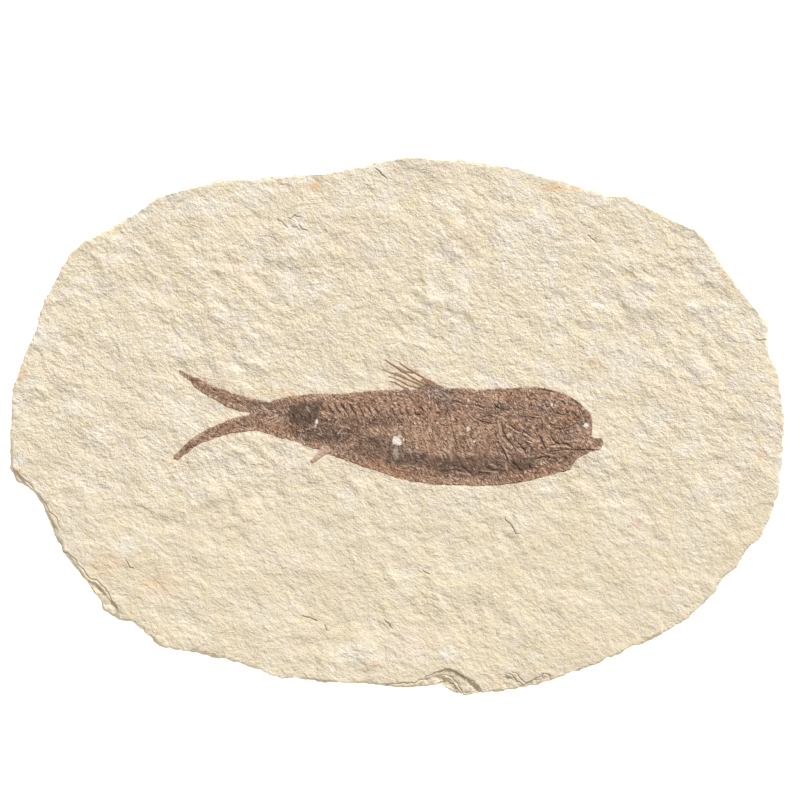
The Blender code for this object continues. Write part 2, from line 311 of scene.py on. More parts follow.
# %% [markdown]
# ## The lie of the stone's face
#
# The bedding plane swells gently over centimetres, and it is covered with lumps of one to three
# millimetres where grains and shell grit held while the mud around them came away. The broad swell
# is the same formula that the solid uses, so the fine face follows it. The lumps, called knobs
# here, come from three sizes of noise, and thin flakes of the bedding end in low steps. The stone
# and the fish both take their height from this one function, which is why the fish lies in the
# stone without a gap.

# %% Height of the face
LUMP_HEIGHT = 0.26 * MM
LUMP_SPACING = 11.0 * MM
SWELL_HEIGHT = 0.22 * MM
SWELL_SPACING = 34.0 * MM
KNOBS = ((3.4, 0.28), (1.7, 0.15), (0.9, 0.06))     # spacing and height, mm
GRAIN_TURN = math.radians(-34)     # the lumps are a little longer in this direction
GRAIN_STRETCH = 1.3
SMOOTHER_BELOW = 0.22              # how much smoother the face is in front of the fish's belly
SMOOTHER_FROM = (5, 25)            # how far in front of the middle that begins and is complete
PATCHINESS = (13.0, 0.8)           # spacing and strength of rougher and smoother places
FLAKE_SPACING = 7.5
FLAKE_FINE_SPACING = 1.3
FLAKE_STEP = 0.08
FLAKE_EDGE = 0.16                  # the share of a flake's width over which its edge rises


def broad_face(spots):
    """The gentle swell of the bedding, the solid's own formula, in millimetres."""
    swell = FACE_HEIGHT / MM
    swell += LUMP_HEIGHT / MM * ripple(spots, LUMP_SPACING / MM)
    swell += SWELL_HEIGHT / MM * ripple(spots, SWELL_SPACING / MM)
    return swell


def roughness(spots):
    """How rough the bedding is, from 1 down to a little less in front of the fish's belly."""
    return 1 - SMOOTHER_BELOW * soft_step(-spots[:, 1], *SMOOTHER_FROM)


def knobs(spots):
    """Small lumps in millimetres at spots given in millimetres, on the face or in space."""
    grained = turned(spots, GRAIN_TURN, GRAIN_STRETCH)
    patch_spacing, patch_strength = PATCHINESS
    coarse = roughness(spots) + patch_strength * ripple(spots, patch_spacing, 9)
    total = np.zeros(len(spots))
    for layer, (spacing, height) in enumerate(KNOBS):
        total += height * ripple(grained, spacing, layer + 1)
    return coarse * total


def flakes(spots):
    """Thin sheets of the bedding that have come away, as low terraces with short steep edges."""
    level = 2.4 * ripple(spots, FLAKE_SPACING, 14) + 0.5 * ripple(spots, FLAKE_FINE_SPACING, 15)
    whole = np.floor(level)
    return FLAKE_STEP * (whole + soft_step(level - whole, 0.0, FLAKE_EDGE))


def face_height(spots):
    """The height of the fine upper face in millimetres at spots in millimetres."""
    return broad_face(spots) + knobs(spots) + flakes(spots)


face_middle = face_height(np.zeros((1, 2)))[0]
print("height of the face at the middle, mm:", round(float(face_middle), 2))

# %% [markdown]
# ## The fish's outline
#
# The brown film has a crisp but ragged edge, and everything about the fish hangs on it: where the
# film ends, how thick it is, and where the stone may be left coarse because the film hides it. It
# is one closed line from the tip of the upper tail lobe over the back and the snout, and home
# along the belly. Only the points that its shape needs are given, and a smooth curve joins them.
# The scrap of anal fin and the rays of the back fin are narrow strips beside it, given by points
# along their middle with the half width at each.

# %% Outline
FISH_OUTLINE = [
    # the upper tail lobe, to the root of the tail
    (-45.4, 11.8), (-44.7, 11.5), (-43.6, 10.8), (-42.6, 10.4), (-41.1, 9.8), (-39.5, 9.2),
    (-38.4, 8.3), (-36.6, 7.9), (-35.3, 7.5), (-34.5, 6.9), (-32.8, 6.5), (-31.8, 6.0),
    (-30.3, 5.8), (-28.2, 5.4), (-27.0, 5.0), (-26.1, 5.2),
    # the back
    (-24.5, 5.8), (-22.4, 6.2), (-20.3, 6.5), (-16.1, 6.7), (-12.0, 6.7), (-7.8, 7.1), (-3.6, 7.5),
    (0.5, 7.6), (9.9, 7.7), (13.0, 7.9), (17.2, 7.5), (19.5, 7.7), (23.4, 7.9),
    # the forehead and snout
    (27.8, 8.1), (31.0, 7.8), (33.6, 7.1), (35.9, 6.2), (37.6, 5.0), (39.0, 3.8), (40.1, 2.7),
    (40.5, 1.2), (40.7, -0.4), (40.5, -2.5),
    # the jaws and throat
    (42.2, -2.5), (42.6, -2.9), (42.9, -3.7), (42.6, -4.4), (42.2, -5.0), (41.1, -5.2),
    (39.7, -5.6), (38.4, -6.3), (37.0, -7.3), (36.3, -8.1), (36.1, -9.0), (35.1, -9.4),
    (33.0, -9.9), (31.0, -10.4), (29.0, -11.1), (26.4, -11.7), (23.0, -12.1),
    # the belly
    (19.3, -12.4), (15.1, -12.5), (6.8, -12.1), (2.6, -11.5), (-1.6, -10.4), (-3.6, -9.6),
    (-7.8, -8.4), (-12.0, -6.8), (-16.1, -5.1), (-18.2, -4.6), (-20.3, -3.6), (-22.4, -2.9),
    (-24.9, -2.4),
    # the lower tail lobe, out and back
    (-26.6, -1.7), (-29.7, -1.0), (-32.8, -1.4), (-34.9, -1.6), (-37.0, -2.2), (-39.1, -3.1),
    (-40.9, -3.6), (-42.4, -4.6), (-44.1, -5.8), (-45.3, -6.9), (-46.6, -7.1), (-46.9, -6.7),
    (-46.3, -5.8), (-45.1, -4.7), (-44.1, -3.6), (-42.4, -2.3), (-40.7, -1.2), (-39.1, -0.4),
    (-36.6, 0.7), (-34.3, 1.7), (-32.2, 2.2), (-30.7, 2.6),
    # the fork, and the underside of the upper lobe
    (-32.8, 3.1), (-34.9, 3.6), (-37.0, 4.8), (-39.1, 6.0), (-41.3, 7.3), (-42.6, 8.5),
    (-43.6, 9.5), (-44.7, 10.3), (-45.7, 11.1),
]
FIN_SKIN = [
    (10.4, 6.8), (9.7, 7.9), (8.2, 8.9), (6.4, 9.8), (5.1, 9.9), (4.4, 9.2), (4.7, 8.4), (4.2, 7.9),
    (3.8, 7.0),
]
ANAL_FIN = ((-14.5, -4.4, 1.0), (-16.5, -6.3, 0.6), (-18.0, -7.6, 0.4))
FIN_RAYS = (
    ((9.7, 7.8, 0.22), (7.4, 9.0, 0.22), (4.9, 10.4, 0.2), (2.1, 12.0, 0.18), (0.4, 13.1, 0.12)),
    ((6.0, 8.6, 0.2), (3.5, 9.9, 0.2), (0.5, 11.8, 0.22), (-1.7, 13.2, 0.15), (-2.7, 13.9, 0.1)),
    ((5.7, 8.3, 0.2), (3.6, 9.1, 0.18), (0.7, 10.3, 0.17), (-1.9, 11.3, 0.12), (-3.2, 11.8, 0.1)),
    ((4.7, 7.9, 0.2), (2.2, 8.5, 0.17), (1.0, 9.2, 0.16), (-0.5, 9.9, 0.13), (-2.0, 10.4, 0.1)),
    ((2.4, 7.7, 0.18), (1.0, 8.2, 0.17), (-0.2, 8.9, 0.15), (-1.6, 9.4, 0.1)),
    ((3.4, 11.0, 0.13), (1.9, 11.4, 0.14), (0.2, 12.2, 0.16), (-1.0, 12.7, 0.1)),
    ((2.2, 9.8, 0.12), (0.9, 10.6, 0.12), (-0.6, 11.2, 0.1)),
)


def strip_outline(stations):
    """The outline of a narrow piece given by points along its middle and its half width at each."""
    left, right = [], []
    for index, (x, y, half) in enumerate(stations):
        before = stations[max(index - 1, 0)]
        after = stations[min(index + 1, len(stations) - 1)]
        way = Vector((after[0] - before[0], after[1] - before[1])).normalized()
        left.append((x - way.y * half, y + way.x * half))
        right.append((x + way.y * half, y - way.x * half))
    return left + right[::-1]


def rounded(outline, steps=3):
    """A closed outline with smooth curves through the same points instead of straight lines."""
    corners = [Vector(point) for point in outline]
    curve = []
    for index, start in enumerate(corners):
        before = corners[index - 1]
        end = corners[(index + 1) % len(corners)]
        after = corners[(index + 2) % len(corners)]
        for step in range(steps):
            t = step / steps
            line = start + (end - start) * t
            leave = (end - before) / 2 - (end - start)
            arrive = (after - start) / 2 - (end - start)
            bend = leave * t * (1 - t) ** 2 - arrive * t ** 2 * (1 - t)
            curve.append(tuple(line + bend))
    return curve


FISH_EDGE = rounded(FISH_OUTLINE)
FIN_STRIPS = [strip_outline(ANAL_FIN), *map(strip_outline, FIN_RAYS)]


def strip_depth(spots):
    """How far each spot lies inside the nearest of the fins' narrow strips."""
    return np.maximum.reduce([depth_inside(spots, outline) for outline in FIN_STRIPS])


RAGGED_WITHIN = 1.5        # only this close to the edge is it made ragged
TATTERS = ((1.1, 0.2), (0.45, 0.13))     # spacing and depth, mm


def fish_depth(spots):
    """How far each spot lies inside the fish's ragged edge, in millimetres."""
    depth = np.maximum(depth_inside(spots, FISH_EDGE), depth_inside(spots, FIN_SKIN))
    near = np.abs(depth) < RAGGED_WITHIN
    for layer, (spacing, reach) in enumerate(TATTERS):
        depth[near] += reach * ripple(spots[near], spacing, 21 + layer)
    return np.maximum(depth, strip_depth(spots))


EYE_CENTRE = (33.6, 4.2)
eye_depth = fish_depth(np.array([EYE_CENTRE]))[0]
print("the eye lies this far inside the outline, mm:", round(float(eye_depth), 2))

# %% [markdown]
# ## The slab
#
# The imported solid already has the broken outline, the beds of the stone and the ledges along the
# lower edge, but its faces are large. A copy is merged into one skin. The floor of the pocket that
# holds the fish is cut away, with any crumbs of face left loose in it, and the hole is filled
# level with the face. A voxel remesh then turns the whole into even small squares, and those are
# pushed in and out by noise. Sculpting by hand would also work, but noise gives every square
# centimetre the same patient roughness, and it can be run again at any time.

# %% Copy of the slab with its pocket closed
STONE_CELL = 0.475 * MM
POCKET_FLOOR = 8.1 * MM
SAME_PLACE = 0.002 * MM        # corners this close are one corner
SAME_HEIGHT = 0.02 * MM        # and this close to the pocket's floor they belong to it
AROUND_FISH = 1.0 * MM

stone = bmesh.new()
stone.from_mesh(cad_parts["stone_slab"].data)
bmesh.ops.remove_doubles(stone, verts=stone.verts, dist=SAME_PLACE)
fish_low, fish_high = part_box("fossil_fish")
floor_corners = [
    v for v in stone.verts
    if abs(v.co.z - POCKET_FLOOR) < SAME_HEIGHT
    and fish_low.x - AROUND_FISH < v.co.x < fish_high.x + AROUND_FISH
    and fish_low.y - AROUND_FISH < v.co.y < fish_high.y + AROUND_FISH
]
bmesh.ops.delete(stone, geom=floor_corners, context="VERTS")
print("corners of the pocket's floor cut away:", len(floor_corners))


# %% Filling the pocket's mouth
def connected(start):
    """All the vertices that can be reached from one along edges."""
    reached = {start}
    waiting = [start]
    while waiting:
        corner = waiting.pop()
        for edge in corner.link_edges:
            other = edge.other_vert(corner)
            if other not in reached:
                reached.add(other)
                waiting.append(other)
    return reached


slab_skin = connected(min(stone.verts, key=lambda v: v.co.z))
crumbs = [v for v in stone.verts if v not in slab_skin]
bmesh.ops.delete(stone, geom=crumbs, context="VERTS")
bmesh.ops.triangle_fill(stone, edges=[e for e in stone.edges if e.is_boundary], use_beauty=True)
bmesh.ops.recalc_face_normals(stone, faces=stone.faces)
print("closed shell:", all(e.is_manifold for e in stone.edges))


# %% Even squares
def object_of(name, shape):
    """Turns a bmesh into a smooth-shaded object and frees it."""
    mesh = bpy.data.meshes.new(name)
    shape.to_mesh(mesh)
    shape.free()
    mesh.shade_smooth()
    made = bpy.data.objects.new(name, mesh)
    bpy.context.scene.collection.objects.link(made)
    return made


def apply_modifiers(piece):
    """Replaces a piece's mesh with what its modifiers make of it."""
    bpy.context.view_layer.update()
    graph = bpy.context.evaluated_depsgraph_get()
    done = bpy.data.meshes.new_from_object(piece.evaluated_get(graph))
    rough = piece.data
    piece.modifiers.clear()
    piece.data = done
    bpy.data.meshes.remove(rough)
    done.name = piece.name


slab = object_of("limestone_slab", stone)
remesh = slab.modifiers.new("even_squares", "REMESH")
remesh.mode = "VOXEL"
remesh.voxel_size = STONE_CELL
apply_modifiers(slab)
print("squares:", len(slab.data.polygons))

# %% [markdown]
# ### Cracks and the edges of ledges
#
# A few hairline cracks, each only some millimetres long, cross the face, and along the broken
# ledges runs a thin seam. Both are thinner than a square of the mesh, so the squares along
# each line are first cut finer, and later the vertices close to it are pushed down into a narrow
# groove, which the finish also darkens with painted shade.

# %% Lines of the cracks and ledges, in millimetres
CRACKS = {
    "long_back": (
        (-25.1, 43.0), (-24.6, 42.6), (-24.1, 42.6), (-23.6, 42.1), (-23.2, 41.6), (-22.8, 41.2),
    ),
    "long_back_end": ((-22.2, 41.4), (-21.5, 41.4), (-21.1, 41.3)),
    "short_back": (
        (-22.8, 43.4), (-22.3, 43.2), (-21.9, 43.4), (-21.4, 43.9), (-21.0, 43.5), (-20.3, 43.5),
    ),
    "stub_back": ((-20.8, 41.9), (-20.4, 41.6), (-19.7, 41.0), (-18.8, 40.6)),
    "front_left": ((-20.3, -39.6), (-18.4, -40.0), (-16.6, -40.8)),
    "front_stub": ((-15.3, -41.5), (-14.7, -42.7)),
    "below_belly": ((22.2, -19.0), (22.8, -19.8), (24.1, -21.5), (24.7, -22.6), (25.5, -22.5)),
    "lower_corner": ((-56.6, -27.9), (-55.7, -29.4), (-54.9, -29.6)),
    "front_middle": ((-2.8, -40.4), (-2.0, -41.2), (-1.1, -42.3)),
    "front_faint": ((5.1, -30.0), (6.8, -31.0)),
    "top_rim": ((-4.7, 53.7), (-2.4, 51.5)),
    "brown_dash": ((39.5, 39.8), (41.6, 38.1)),
    "right_rim": ((74.7, 17.9), (76.8, 17.9)),
}
LEDGE_EDGES = {
    "wide_break": (
        (-3.6, -53.9), (3.4, -53.5), (5.5, -52.6), (7.7, -51.3), (11.0, -50.6), (12.2, -51.1),
        (13.5, -52.2), (16.2, -53.5), (17.4, -55.2),
    ),
    "middle_break": (
        (8.0, -52.1), (10.1, -51.9), (11.6, -52.6), (12.5, -53.9), (13.5, -55.4), (15.9, -55.7),
    ),
    "low_break": ((8.3, -53.6), (10.1, -53.2), (11.6, -53.9), (12.9, -55.1)),
    "right_break": (
        (22.8, -51.5), (23.9, -51.9), (24.8, -53.2), (26.4, -53.9), (28.1, -52.9), (30.3, -51.7),
        (31.5, -51.7), (32.3, -52.3),
    ),
    "right_sliver": ((23.7, -51.1), (24.9, -51.6), (25.7, -52.6), (26.9, -53.6)),
    "tail_corner_high": (
        (-80.4, -8.7), (-76.7, -12.1), (-75.2, -13.9), (-73.6, -15.7), (-72.7, -17.6),
        (-71.2, -19.1), (-70.3, -21.2),
    ),
    "tail_corner_low": (
        (-72.4, -19.4), (-70.9, -23.7), (-69.7, -25.5), (-67.5, -27.7), (-65.1, -30.4),
        (-64.5, -31.6), (-62.6, -32.2), (-60.8, -34.1), (-57.9, -39.0),
    ),
}
FACE_LINES = [*CRACKS.values(), *LEDGE_EDGES.values()]
print("cracks and seams:", len(FACE_LINES))


# %% Finer squares along the lines
FACE_LAYER = 1.0       # how far below the face its own squares may lie, mm


def places(mesh):
    """The vertices of a mesh as rows of millimetres."""
    flat = np.empty(3 * len(mesh.vertices), np.float32)
    mesh.vertices.foreach_get("co", flat)
    return flat.reshape(-1, 3).astype(float) / MM


def cut_finer(piece, lines, reach, cuts):
    """Cuts the squares of the upper face that lie within reach of the lines into smaller ones."""
    spots = places(piece.data)
    near = np.zeros(len(spots), bool)
    for line in lines:
        near |= nearest_on_line(spots[:, :2], line)[0] < reach
    near &= spots[:, 2] > FACE_HEIGHT / MM - FACE_LAYER
    shape = bmesh.new()
    shape.from_mesh(piece.data)
    edges = [e for e in shape.edges if near[e.verts[0].index] and near[e.verts[1].index]]
    bmesh.ops.subdivide_edges(shape, edges=edges, cuts=cuts, use_grid_fill=True)
    shape.to_mesh(piece.data)
    shape.free()


cut_finer(slab, FACE_LINES, reach=0.75, cuts=2)
print("squares with the cracks cut:", len(slab.data.polygons))

# %% [markdown]
# ### Lumps, broken sides and the underside
#
# On the upper face each vertex only moves up or down, so that the face stays the one the fish
# lies in. Elsewhere it moves along its own normal. The sides are split along the bedding, so
# their noise is stretched: it changes within a millimetre upwards but over several sideways,
# which draws the thin ledges of split stone. The underside stays within the solid's flat base.

# %% Pushing the stone's surface in and out
SIDE_LAYER = 0.9           # thickness of the sheets that show in the broken sides, mm
SIDE_LENGTH = 6.0
SIDE_DEPTH = 0.55
EDGE_CHIPS = ((1.7, 0.32), (0.8, 0.22))     # spacing and height, mm
CRACK_HALF_WIDTH = 0.12
CRACK_DEPTH = 0.24
CRACK_WOBBLE = 0.25
CRACKS_WITHIN = 2.5        # how far below the face a ledge's seam is still cut
BEDDING_DIP = 0.25         # how far the stone lies lower beneath the fish


def normals(mesh):
    """The outward direction at each vertex of a mesh."""
    flat = np.empty(3 * len(mesh.vertices), np.float32)
    mesh.vertices.foreach_get("normal", flat)
    return flat.reshape(-1, 3).astype(float)


def upper_face_share(spots, facing):
    """1 on the stone's upper face, 0 on its sides, ledges and underside."""
    close = 1 - soft_step(np.abs(spots[:, 2] - broad_face(spots[:, :2])), 0.1, 0.3)
    return close * soft_step(facing[:, 2], 0.35, 0.8)


def break_surface(mesh):
    """Roughens the whole stone, and tells what share of it is face, crack and hidden by the fish."""
    spots = places(mesh)
    facing = normals(mesh)
    on_top = upper_face_share(spots, facing)
    moved = spots.copy()
    moved[:, 2] += on_top * (face_height(spots[:, :2]) - spots[:, 2])
    rough = knobs(spots)
    for layer, (spacing, height) in enumerate(EDGE_CHIPS):
        rough = rough + height * ripple(spots, spacing, 17 + layer)
    rough = (1 - on_top) * rough
    beds = spots / (SIDE_LENGTH, SIDE_LENGTH, SIDE_LAYER)
    split = np.array([noise.noise(Vector(spot)) for spot in beds.tolist()])
    sideways = 1 - np.abs(facing[:, 2])
    outwards = rough + SIDE_DEPTH * sideways * (split + 0.25) * (1 - on_top)
    moved += facing * outwards[:, None]
    beneath_fish = fish_depth(spots[:, :2])
    moved[:, 2] -= BEDDING_DIP * on_top * soft_step(beneath_fish, 0.05, 0.6)
    groove = strokes(spots[:, :2], FACE_LINES, CRACK_HALF_WIDTH, CRACK_WOBBLE)
    groove *= soft_step(facing[:, 2], 0.2, 0.6) * (spots[:, 2] > FACE_HEIGHT / MM - CRACKS_WITHIN)
    moved[:, 2] -= CRACK_DEPTH * groove
    moved[:, 2] = np.maximum(moved[:, 2], 0)
    mesh.vertices.foreach_set("co", (moved * MM).astype(np.float32).ravel())
    mesh.update()
    return on_top, groove, beneath_fish


stone_top, crack_depth, stone_fish_depth = break_surface(slab.data)
print("share of the skin that is upper face:", round(float(stone_top.mean()), 3))

# %% [markdown]
# ### Stains
#
# Iron and clay have tinted the stone in small soft spots, and chalk lies on it here and there.
# Each kind is stored on the vertices as an amount from 0 to 1, which the material turns into
# colour.

# %% Spots of stain, in millimetres: x, y, half width, half height and strength
OCHRE_SPOTS = (
    (-17.2, 50.0, 1.1, 0.7, 0.7), (32.2, 49.6, 2.6, 0.6, 0.6), (37.4, 49.4, 1.4, 0.5, 0.5),
    (-49.5, -33.1, 3.6, 2.4, 0.22), (-60.9, -29.0, 3.4, 2.6, 0.18), (68.2, 31.5, 1.0, 0.8, 0.5),
    (-5.1, -49.8, 1.2, 0.8, 0.4), (-78.0, 11.0, 1.2, 1.0, 0.4), (75.5, -6.2, 0.9, 1.1, 0.4),
    (40.5, 13.3, 1.0, 0.7, 0.4), (-24.0, 7.2, 3.4, 0.5, 0.35), (20.5, -53.5, 0.8, 1.2, 0.35),
    (-79.4, -10.0, 0.9, 0.8, 0.6), (-41.0, 44.0, 2.4, 1.6, 0.2), (3.0, 9.4, 2.6, 1.0, 0.3),
)
BLUSH_SPOTS = (
    (0.0, 8.6, 1.3, 0.6, 0.6), (1.0, 11.5, 2.6, 0.6, 0.35),
    (56.1, -34.2, 1.3, 1.0, 0.5), (49.3, -20.4, 1.2, 0.9, 0.5), (-34.0, 3.8, 2.0, 1.4, 0.25),
    (-10.0, 40.0, 4.5, 3.0, 0.12), (12.0, 38.0, 4.0, 2.4, 0.12), (-33.0, 33.0, 3.0, 3.0, 0.15),
    (2.0, -45.0, 4.5, 3.0, 0.15), (40.0, -44.0, 3.5, 2.0, 0.15), (60.0, 8.0, 4.0, 2.5, 0.12),
)
CHALK_SPOTS = (
    (-40.1, 45.4, 3.2, 2.2, 0.9), (69.3, 24.6, 1.8, 1.2, 0.8), (-15.1, 29.4, 2.2, 1.4, 0.6),
    (30.7, -13.3, 1.6, 1.0, 0.8), (-36.8, 3.5, 0.6, 0.5, 0.9), (-31.6, -1.9, 0.6, 0.5, 0.9),
    (-78.8, -6.6, 1.4, 1.4, 0.9), (-56.5, -24.5, 2.4, 2.4, 0.6), (10.5, -47.5, 1.6, 1.2, 0.8),
    (28.5, -48.0, 1.4, 1.0, 0.7), (-8.0, -47.0, 4.0, 2.2, 0.6),
)
STAIN_RAGGEDNESS = 0.6
LEDGE_PALENESS = 0.5     # the painted shade along the ledges' seams is lighter than in the cracks
RIM_WIDTH = 0.8          # the stone is a little pinker along the fish's edge
print("stains on the stone:", len(OCHRE_SPOTS) + len(BLUSH_SPOTS) + len(CHALK_SPOTS))


# %% Storing the stone's amounts
def store(mesh, name, amount):
    """Keeps an amount for each vertex on the mesh, for its material to read."""
    layer = mesh.attributes.new(name, "FLOAT", "POINT")
    layer.data.foreach_set("value", amount.astype(np.float32))


def amounts(mesh):
    """The names of the amounts that a mesh carries."""
    return [layer.name for layer in mesh.attributes if layer.data_type == "FLOAT"]


stone_spots = places(slab.data)[:, :2]
store(slab.data, "rough", roughness(stone_spots))
store(slab.data, "ochre", patches(stone_spots, OCHRE_SPOTS, STAIN_RAGGEDNESS, 31) * stone_top)
store(slab.data, "blush", patches(stone_spots, BLUSH_SPOTS, STAIN_RAGGEDNESS, 33) * stone_top)
store(slab.data, "chalk", patches(stone_spots, CHALK_SPOTS, STAIN_RAGGEDNESS, 35) * stone_top)
ledge_share = strokes(stone_spots, LEDGE_EDGES.values(), 3 * CRACK_HALF_WIDTH)
# painted shade: the cracks, and more lightly the ledges' seams, are darkened as their shadow would be
store(slab.data, "crack", crack_depth * (1 - LEDGE_PALENESS * ledge_share))
store(slab.data, "rim", stone_top * soft_step(RIM_WIDTH - np.abs(stone_fish_depth), 0.0, RIM_WIDTH))
print("amounts on the stone:", amounts(slab.data))

# %% [markdown]
# ### Saving triangles where nobody looks
#
# The underside and the stone beneath the fish need no fine squares. A vertex group marks them,
# and a Decimate modifier merges only there: vertices with a weight of 0 are left exactly alone.
# It may leave a corner a hair below the table, so those are lifted back to the flat base.

# %% Thinning the hidden stone
TRIANGLE_LIMIT = 196_000
HIDDEN_BENEATH_FISH = 1.6      # this far inside the fish's edge, mm
FACES_DOWN = -0.6              # an upward share of the normal below this is the underside
UNDERSIDE_WITHIN = 1.2         # and lies this close to the table, mm


def triangle_count(mesh):
    """How many triangles a mesh's faces come to."""
    return sum(len(face.vertices) - 2 for face in mesh.polygons)


def thin_hidden_stone(piece):
    """Merges triangles on the underside and beneath the fish until few enough are left."""
    spots = places(piece.data)
    facing = normals(piece.data)
    below = (facing[:, 2] < FACES_DOWN) & (spots[:, 2] < UNDERSIDE_WITHIN)
    beneath = (stone_top > 0.5) & (stone_fish_depth > HIDDEN_BENEATH_FISH)
    group = piece.vertex_groups.new(name="hidden")
    group.add(np.flatnonzero(below | beneath).tolist(), 1.0, "REPLACE")
    thin = piece.modifiers.new("thin_hidden_stone", "DECIMATE")
    thin.vertex_group = group.name
    thin.ratio = TRIANGLE_LIMIT / triangle_count(piece.data)
    apply_modifiers(piece)
    piece.vertex_groups.clear()
    for corner in piece.data.vertices:
        corner.co.z = max(corner.co.z, 0)


before = triangle_count(slab.data)
thin_hidden_stone(slab)
print("triangles:", before, "->", triangle_count(slab.data))

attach(slab, "root")
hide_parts("stone_slab")

# %% [markdown]
# ## Building materials from small steps
#
# Both finishes are layers of colour laid over each other: a ground colour, then mottling from
# noise, then the stored amounts. The class below makes the nodes for that. `lay` lays a colour
# over what is below it by an amount, `grain` makes a noise that reads Object coordinates, which
# stay fixed to the piece, and `remap` picks out the high or the low places of a noise. Where
# `remap` is given a larger number before a smaller one, it picks out the low places.

# %% Helpers for materials
SHINE = 0.25       # both pieces are matt


class Finish:
    """A material under construction, with its shader and the piece's own coordinates."""

    def __init__(self, name, roughness):
        self.material = bpy.data.materials.new(name)
        self.material.use_nodes = True
        self.tree = self.material.node_tree
        self.shader = self.tree.nodes["Principled BSDF"]
        self.shader.inputs["Roughness"].default_value = roughness
        self.shader.inputs["Specular IOR Level"].default_value = SHINE
        self.place = self.add("ShaderNodeTexCoord").outputs["Object"]

    def add(self, kind, **settings):
        """A new node with its settings made."""
        node = self.tree.nodes.new(kind)
        for name, value in settings.items():
            setattr(node, name, value)
        return node

    def link(self, source, target):
        """Joins an outgoing socket to an ingoing one."""
        self.tree.links.new(source, target)

    def stored(self, name):
        """An amount kept on the mesh's vertices."""
        return self.add("ShaderNodeAttribute", attribute_name=name).outputs["Fac"]

    def grain(self, spacing, detail=4.0, roughness=0.6, shift=0.0, stretch=1.0,
              turn=GRAIN_TURN, ridged=False):
        """Noise of 0 to 1 with grains a spacing apart, in metres."""
        node = self.add("ShaderNodeTexNoise")
        if ridged:
            node.noise_type = "RIDGED_MULTIFRACTAL"
        node.inputs["Scale"].default_value = 1 / spacing
        node.inputs["Detail"].default_value = detail
        node.inputs["Roughness"].default_value = roughness
        moved = self.add("ShaderNodeMapping", vector_type="TEXTURE")
        moved.inputs["Location"].default_value = (shift, shift * 0.7, 0)
        moved.inputs["Rotation"].default_value = (0, 0, turn)
        moved.inputs["Scale"].default_value = (stretch, 1, 1)
        self.link(self.place, moved.inputs["Vector"])
        self.link(moved.outputs["Vector"], node.inputs["Vector"])
        return node.outputs["Fac"]

    def remap(self, source, low, high, least=0.0, most=1.0):
        """Least where the source is at low, most where it is at high, and smooth between."""
        node = self.add("ShaderNodeMapRange", interpolation_type="SMOOTHSTEP")
        node.inputs["From Min"].default_value = low
        node.inputs["From Max"].default_value = high
        node.inputs["To Min"].default_value = least
        node.inputs["To Max"].default_value = most
        self.link(source, node.inputs["Value"])
        return node.outputs["Result"]

    def vein(self, spacing, turn, shift):
        """Thin winding lines, 0 to 1, that run mostly along an angle."""
        noise_value = self.grain(spacing, detail=2.0, shift=shift, stretch=3.0, turn=turn)
        middle = self.add("ShaderNodeMath", operation="SUBTRACT")
        middle.inputs[1].default_value = 0.5     # noise crosses this value along thin lines
        self.link(noise_value, middle.inputs[0])
        gap = self.add("ShaderNodeMath", operation="ABSOLUTE")
        self.link(middle.outputs["Value"], gap.inputs[0])
        return self.remap(gap.outputs["Value"], 0.022, 0.004)

    def times(self, first, second):
        """A socket multiplied by another, or by a plain number."""
        node = self.add("ShaderNodeMath", operation="MULTIPLY")
        self.link(first, node.inputs[0])
        if isinstance(second, float):
            node.inputs[1].default_value = second
        else:
            self.link(second, node.inputs[1])
        return node.outputs["Value"]

    def plus(self, first, second):
        """The sum of two sockets."""
        node = self.add("ShaderNodeMath", operation="ADD")
        self.link(first, node.inputs[0])
        self.link(second, node.inputs[1])
        return node.outputs["Value"]

    def lay(self, below, colour, amount):
        """Lays a colour over what is below it; below is a colour or a socket."""
        node = self.add("ShaderNodeMix", data_type="RGBA")
        if isinstance(below, tuple):
            node.inputs[MIX_BELOW].default_value = (*below, 1.0)
        else:
            self.link(below, node.inputs[MIX_BELOW])
        node.inputs[MIX_ABOVE].default_value = (*colour, 1.0)
        self.link(amount, node.inputs["Factor"])
        return node.outputs[MIX_RESULT]

    def finish(self, colour, height, distance):
        """Joins the colour and a bump of some depth to the shader, and gives the material."""
        bump = self.add("ShaderNodeBump")
        bump.inputs["Distance"].default_value = distance
        self.link(height, bump.inputs["Height"])
        self.link(bump.outputs["Normal"], self.shader.inputs["Normal"])
        self.link(colour, self.shader.inputs["Base Color"])
        return self.material


# %% [markdown]
# ## Finish of the limestone
#
# The stone is a warm cream that drifts, over a centimetre or so, towards pinkish beige, towards a
# cooler white and towards a yellower tone. Up close it is peppered with darker and paler grains,
# and tiny specks of painted shade stand for the shadow in small pits. The cracks and the seams of
# the ledges are darkened with painted shade too. The bump adds the grain of about a millimetre and
# less that the mesh is too coarse to hold: rounded grains, with faint scratches in the rougher
# places.

# %% Limestone
CREAM = (0.676, 0.597, 0.467)
BEIGE = (0.617, 0.531, 0.420)
WHITE_STONE = (0.712, 0.658, 0.578)
YELLOW_STONE = (0.676, 0.588, 0.402)
PEPPER = (0.450, 0.370, 0.260)
PIT_SHADE = (0.480, 0.410, 0.290)
OCHRE = (0.680, 0.400, 0.200)
BLUSH = (0.620, 0.440, 0.360)
CHALK = (0.755, 0.732, 0.690)
RIM = (0.720, 0.590, 0.450)
LOWER_STONE = (0.615, 0.535, 0.385)
CRACK_SHADE = (0.230, 0.165, 0.090)


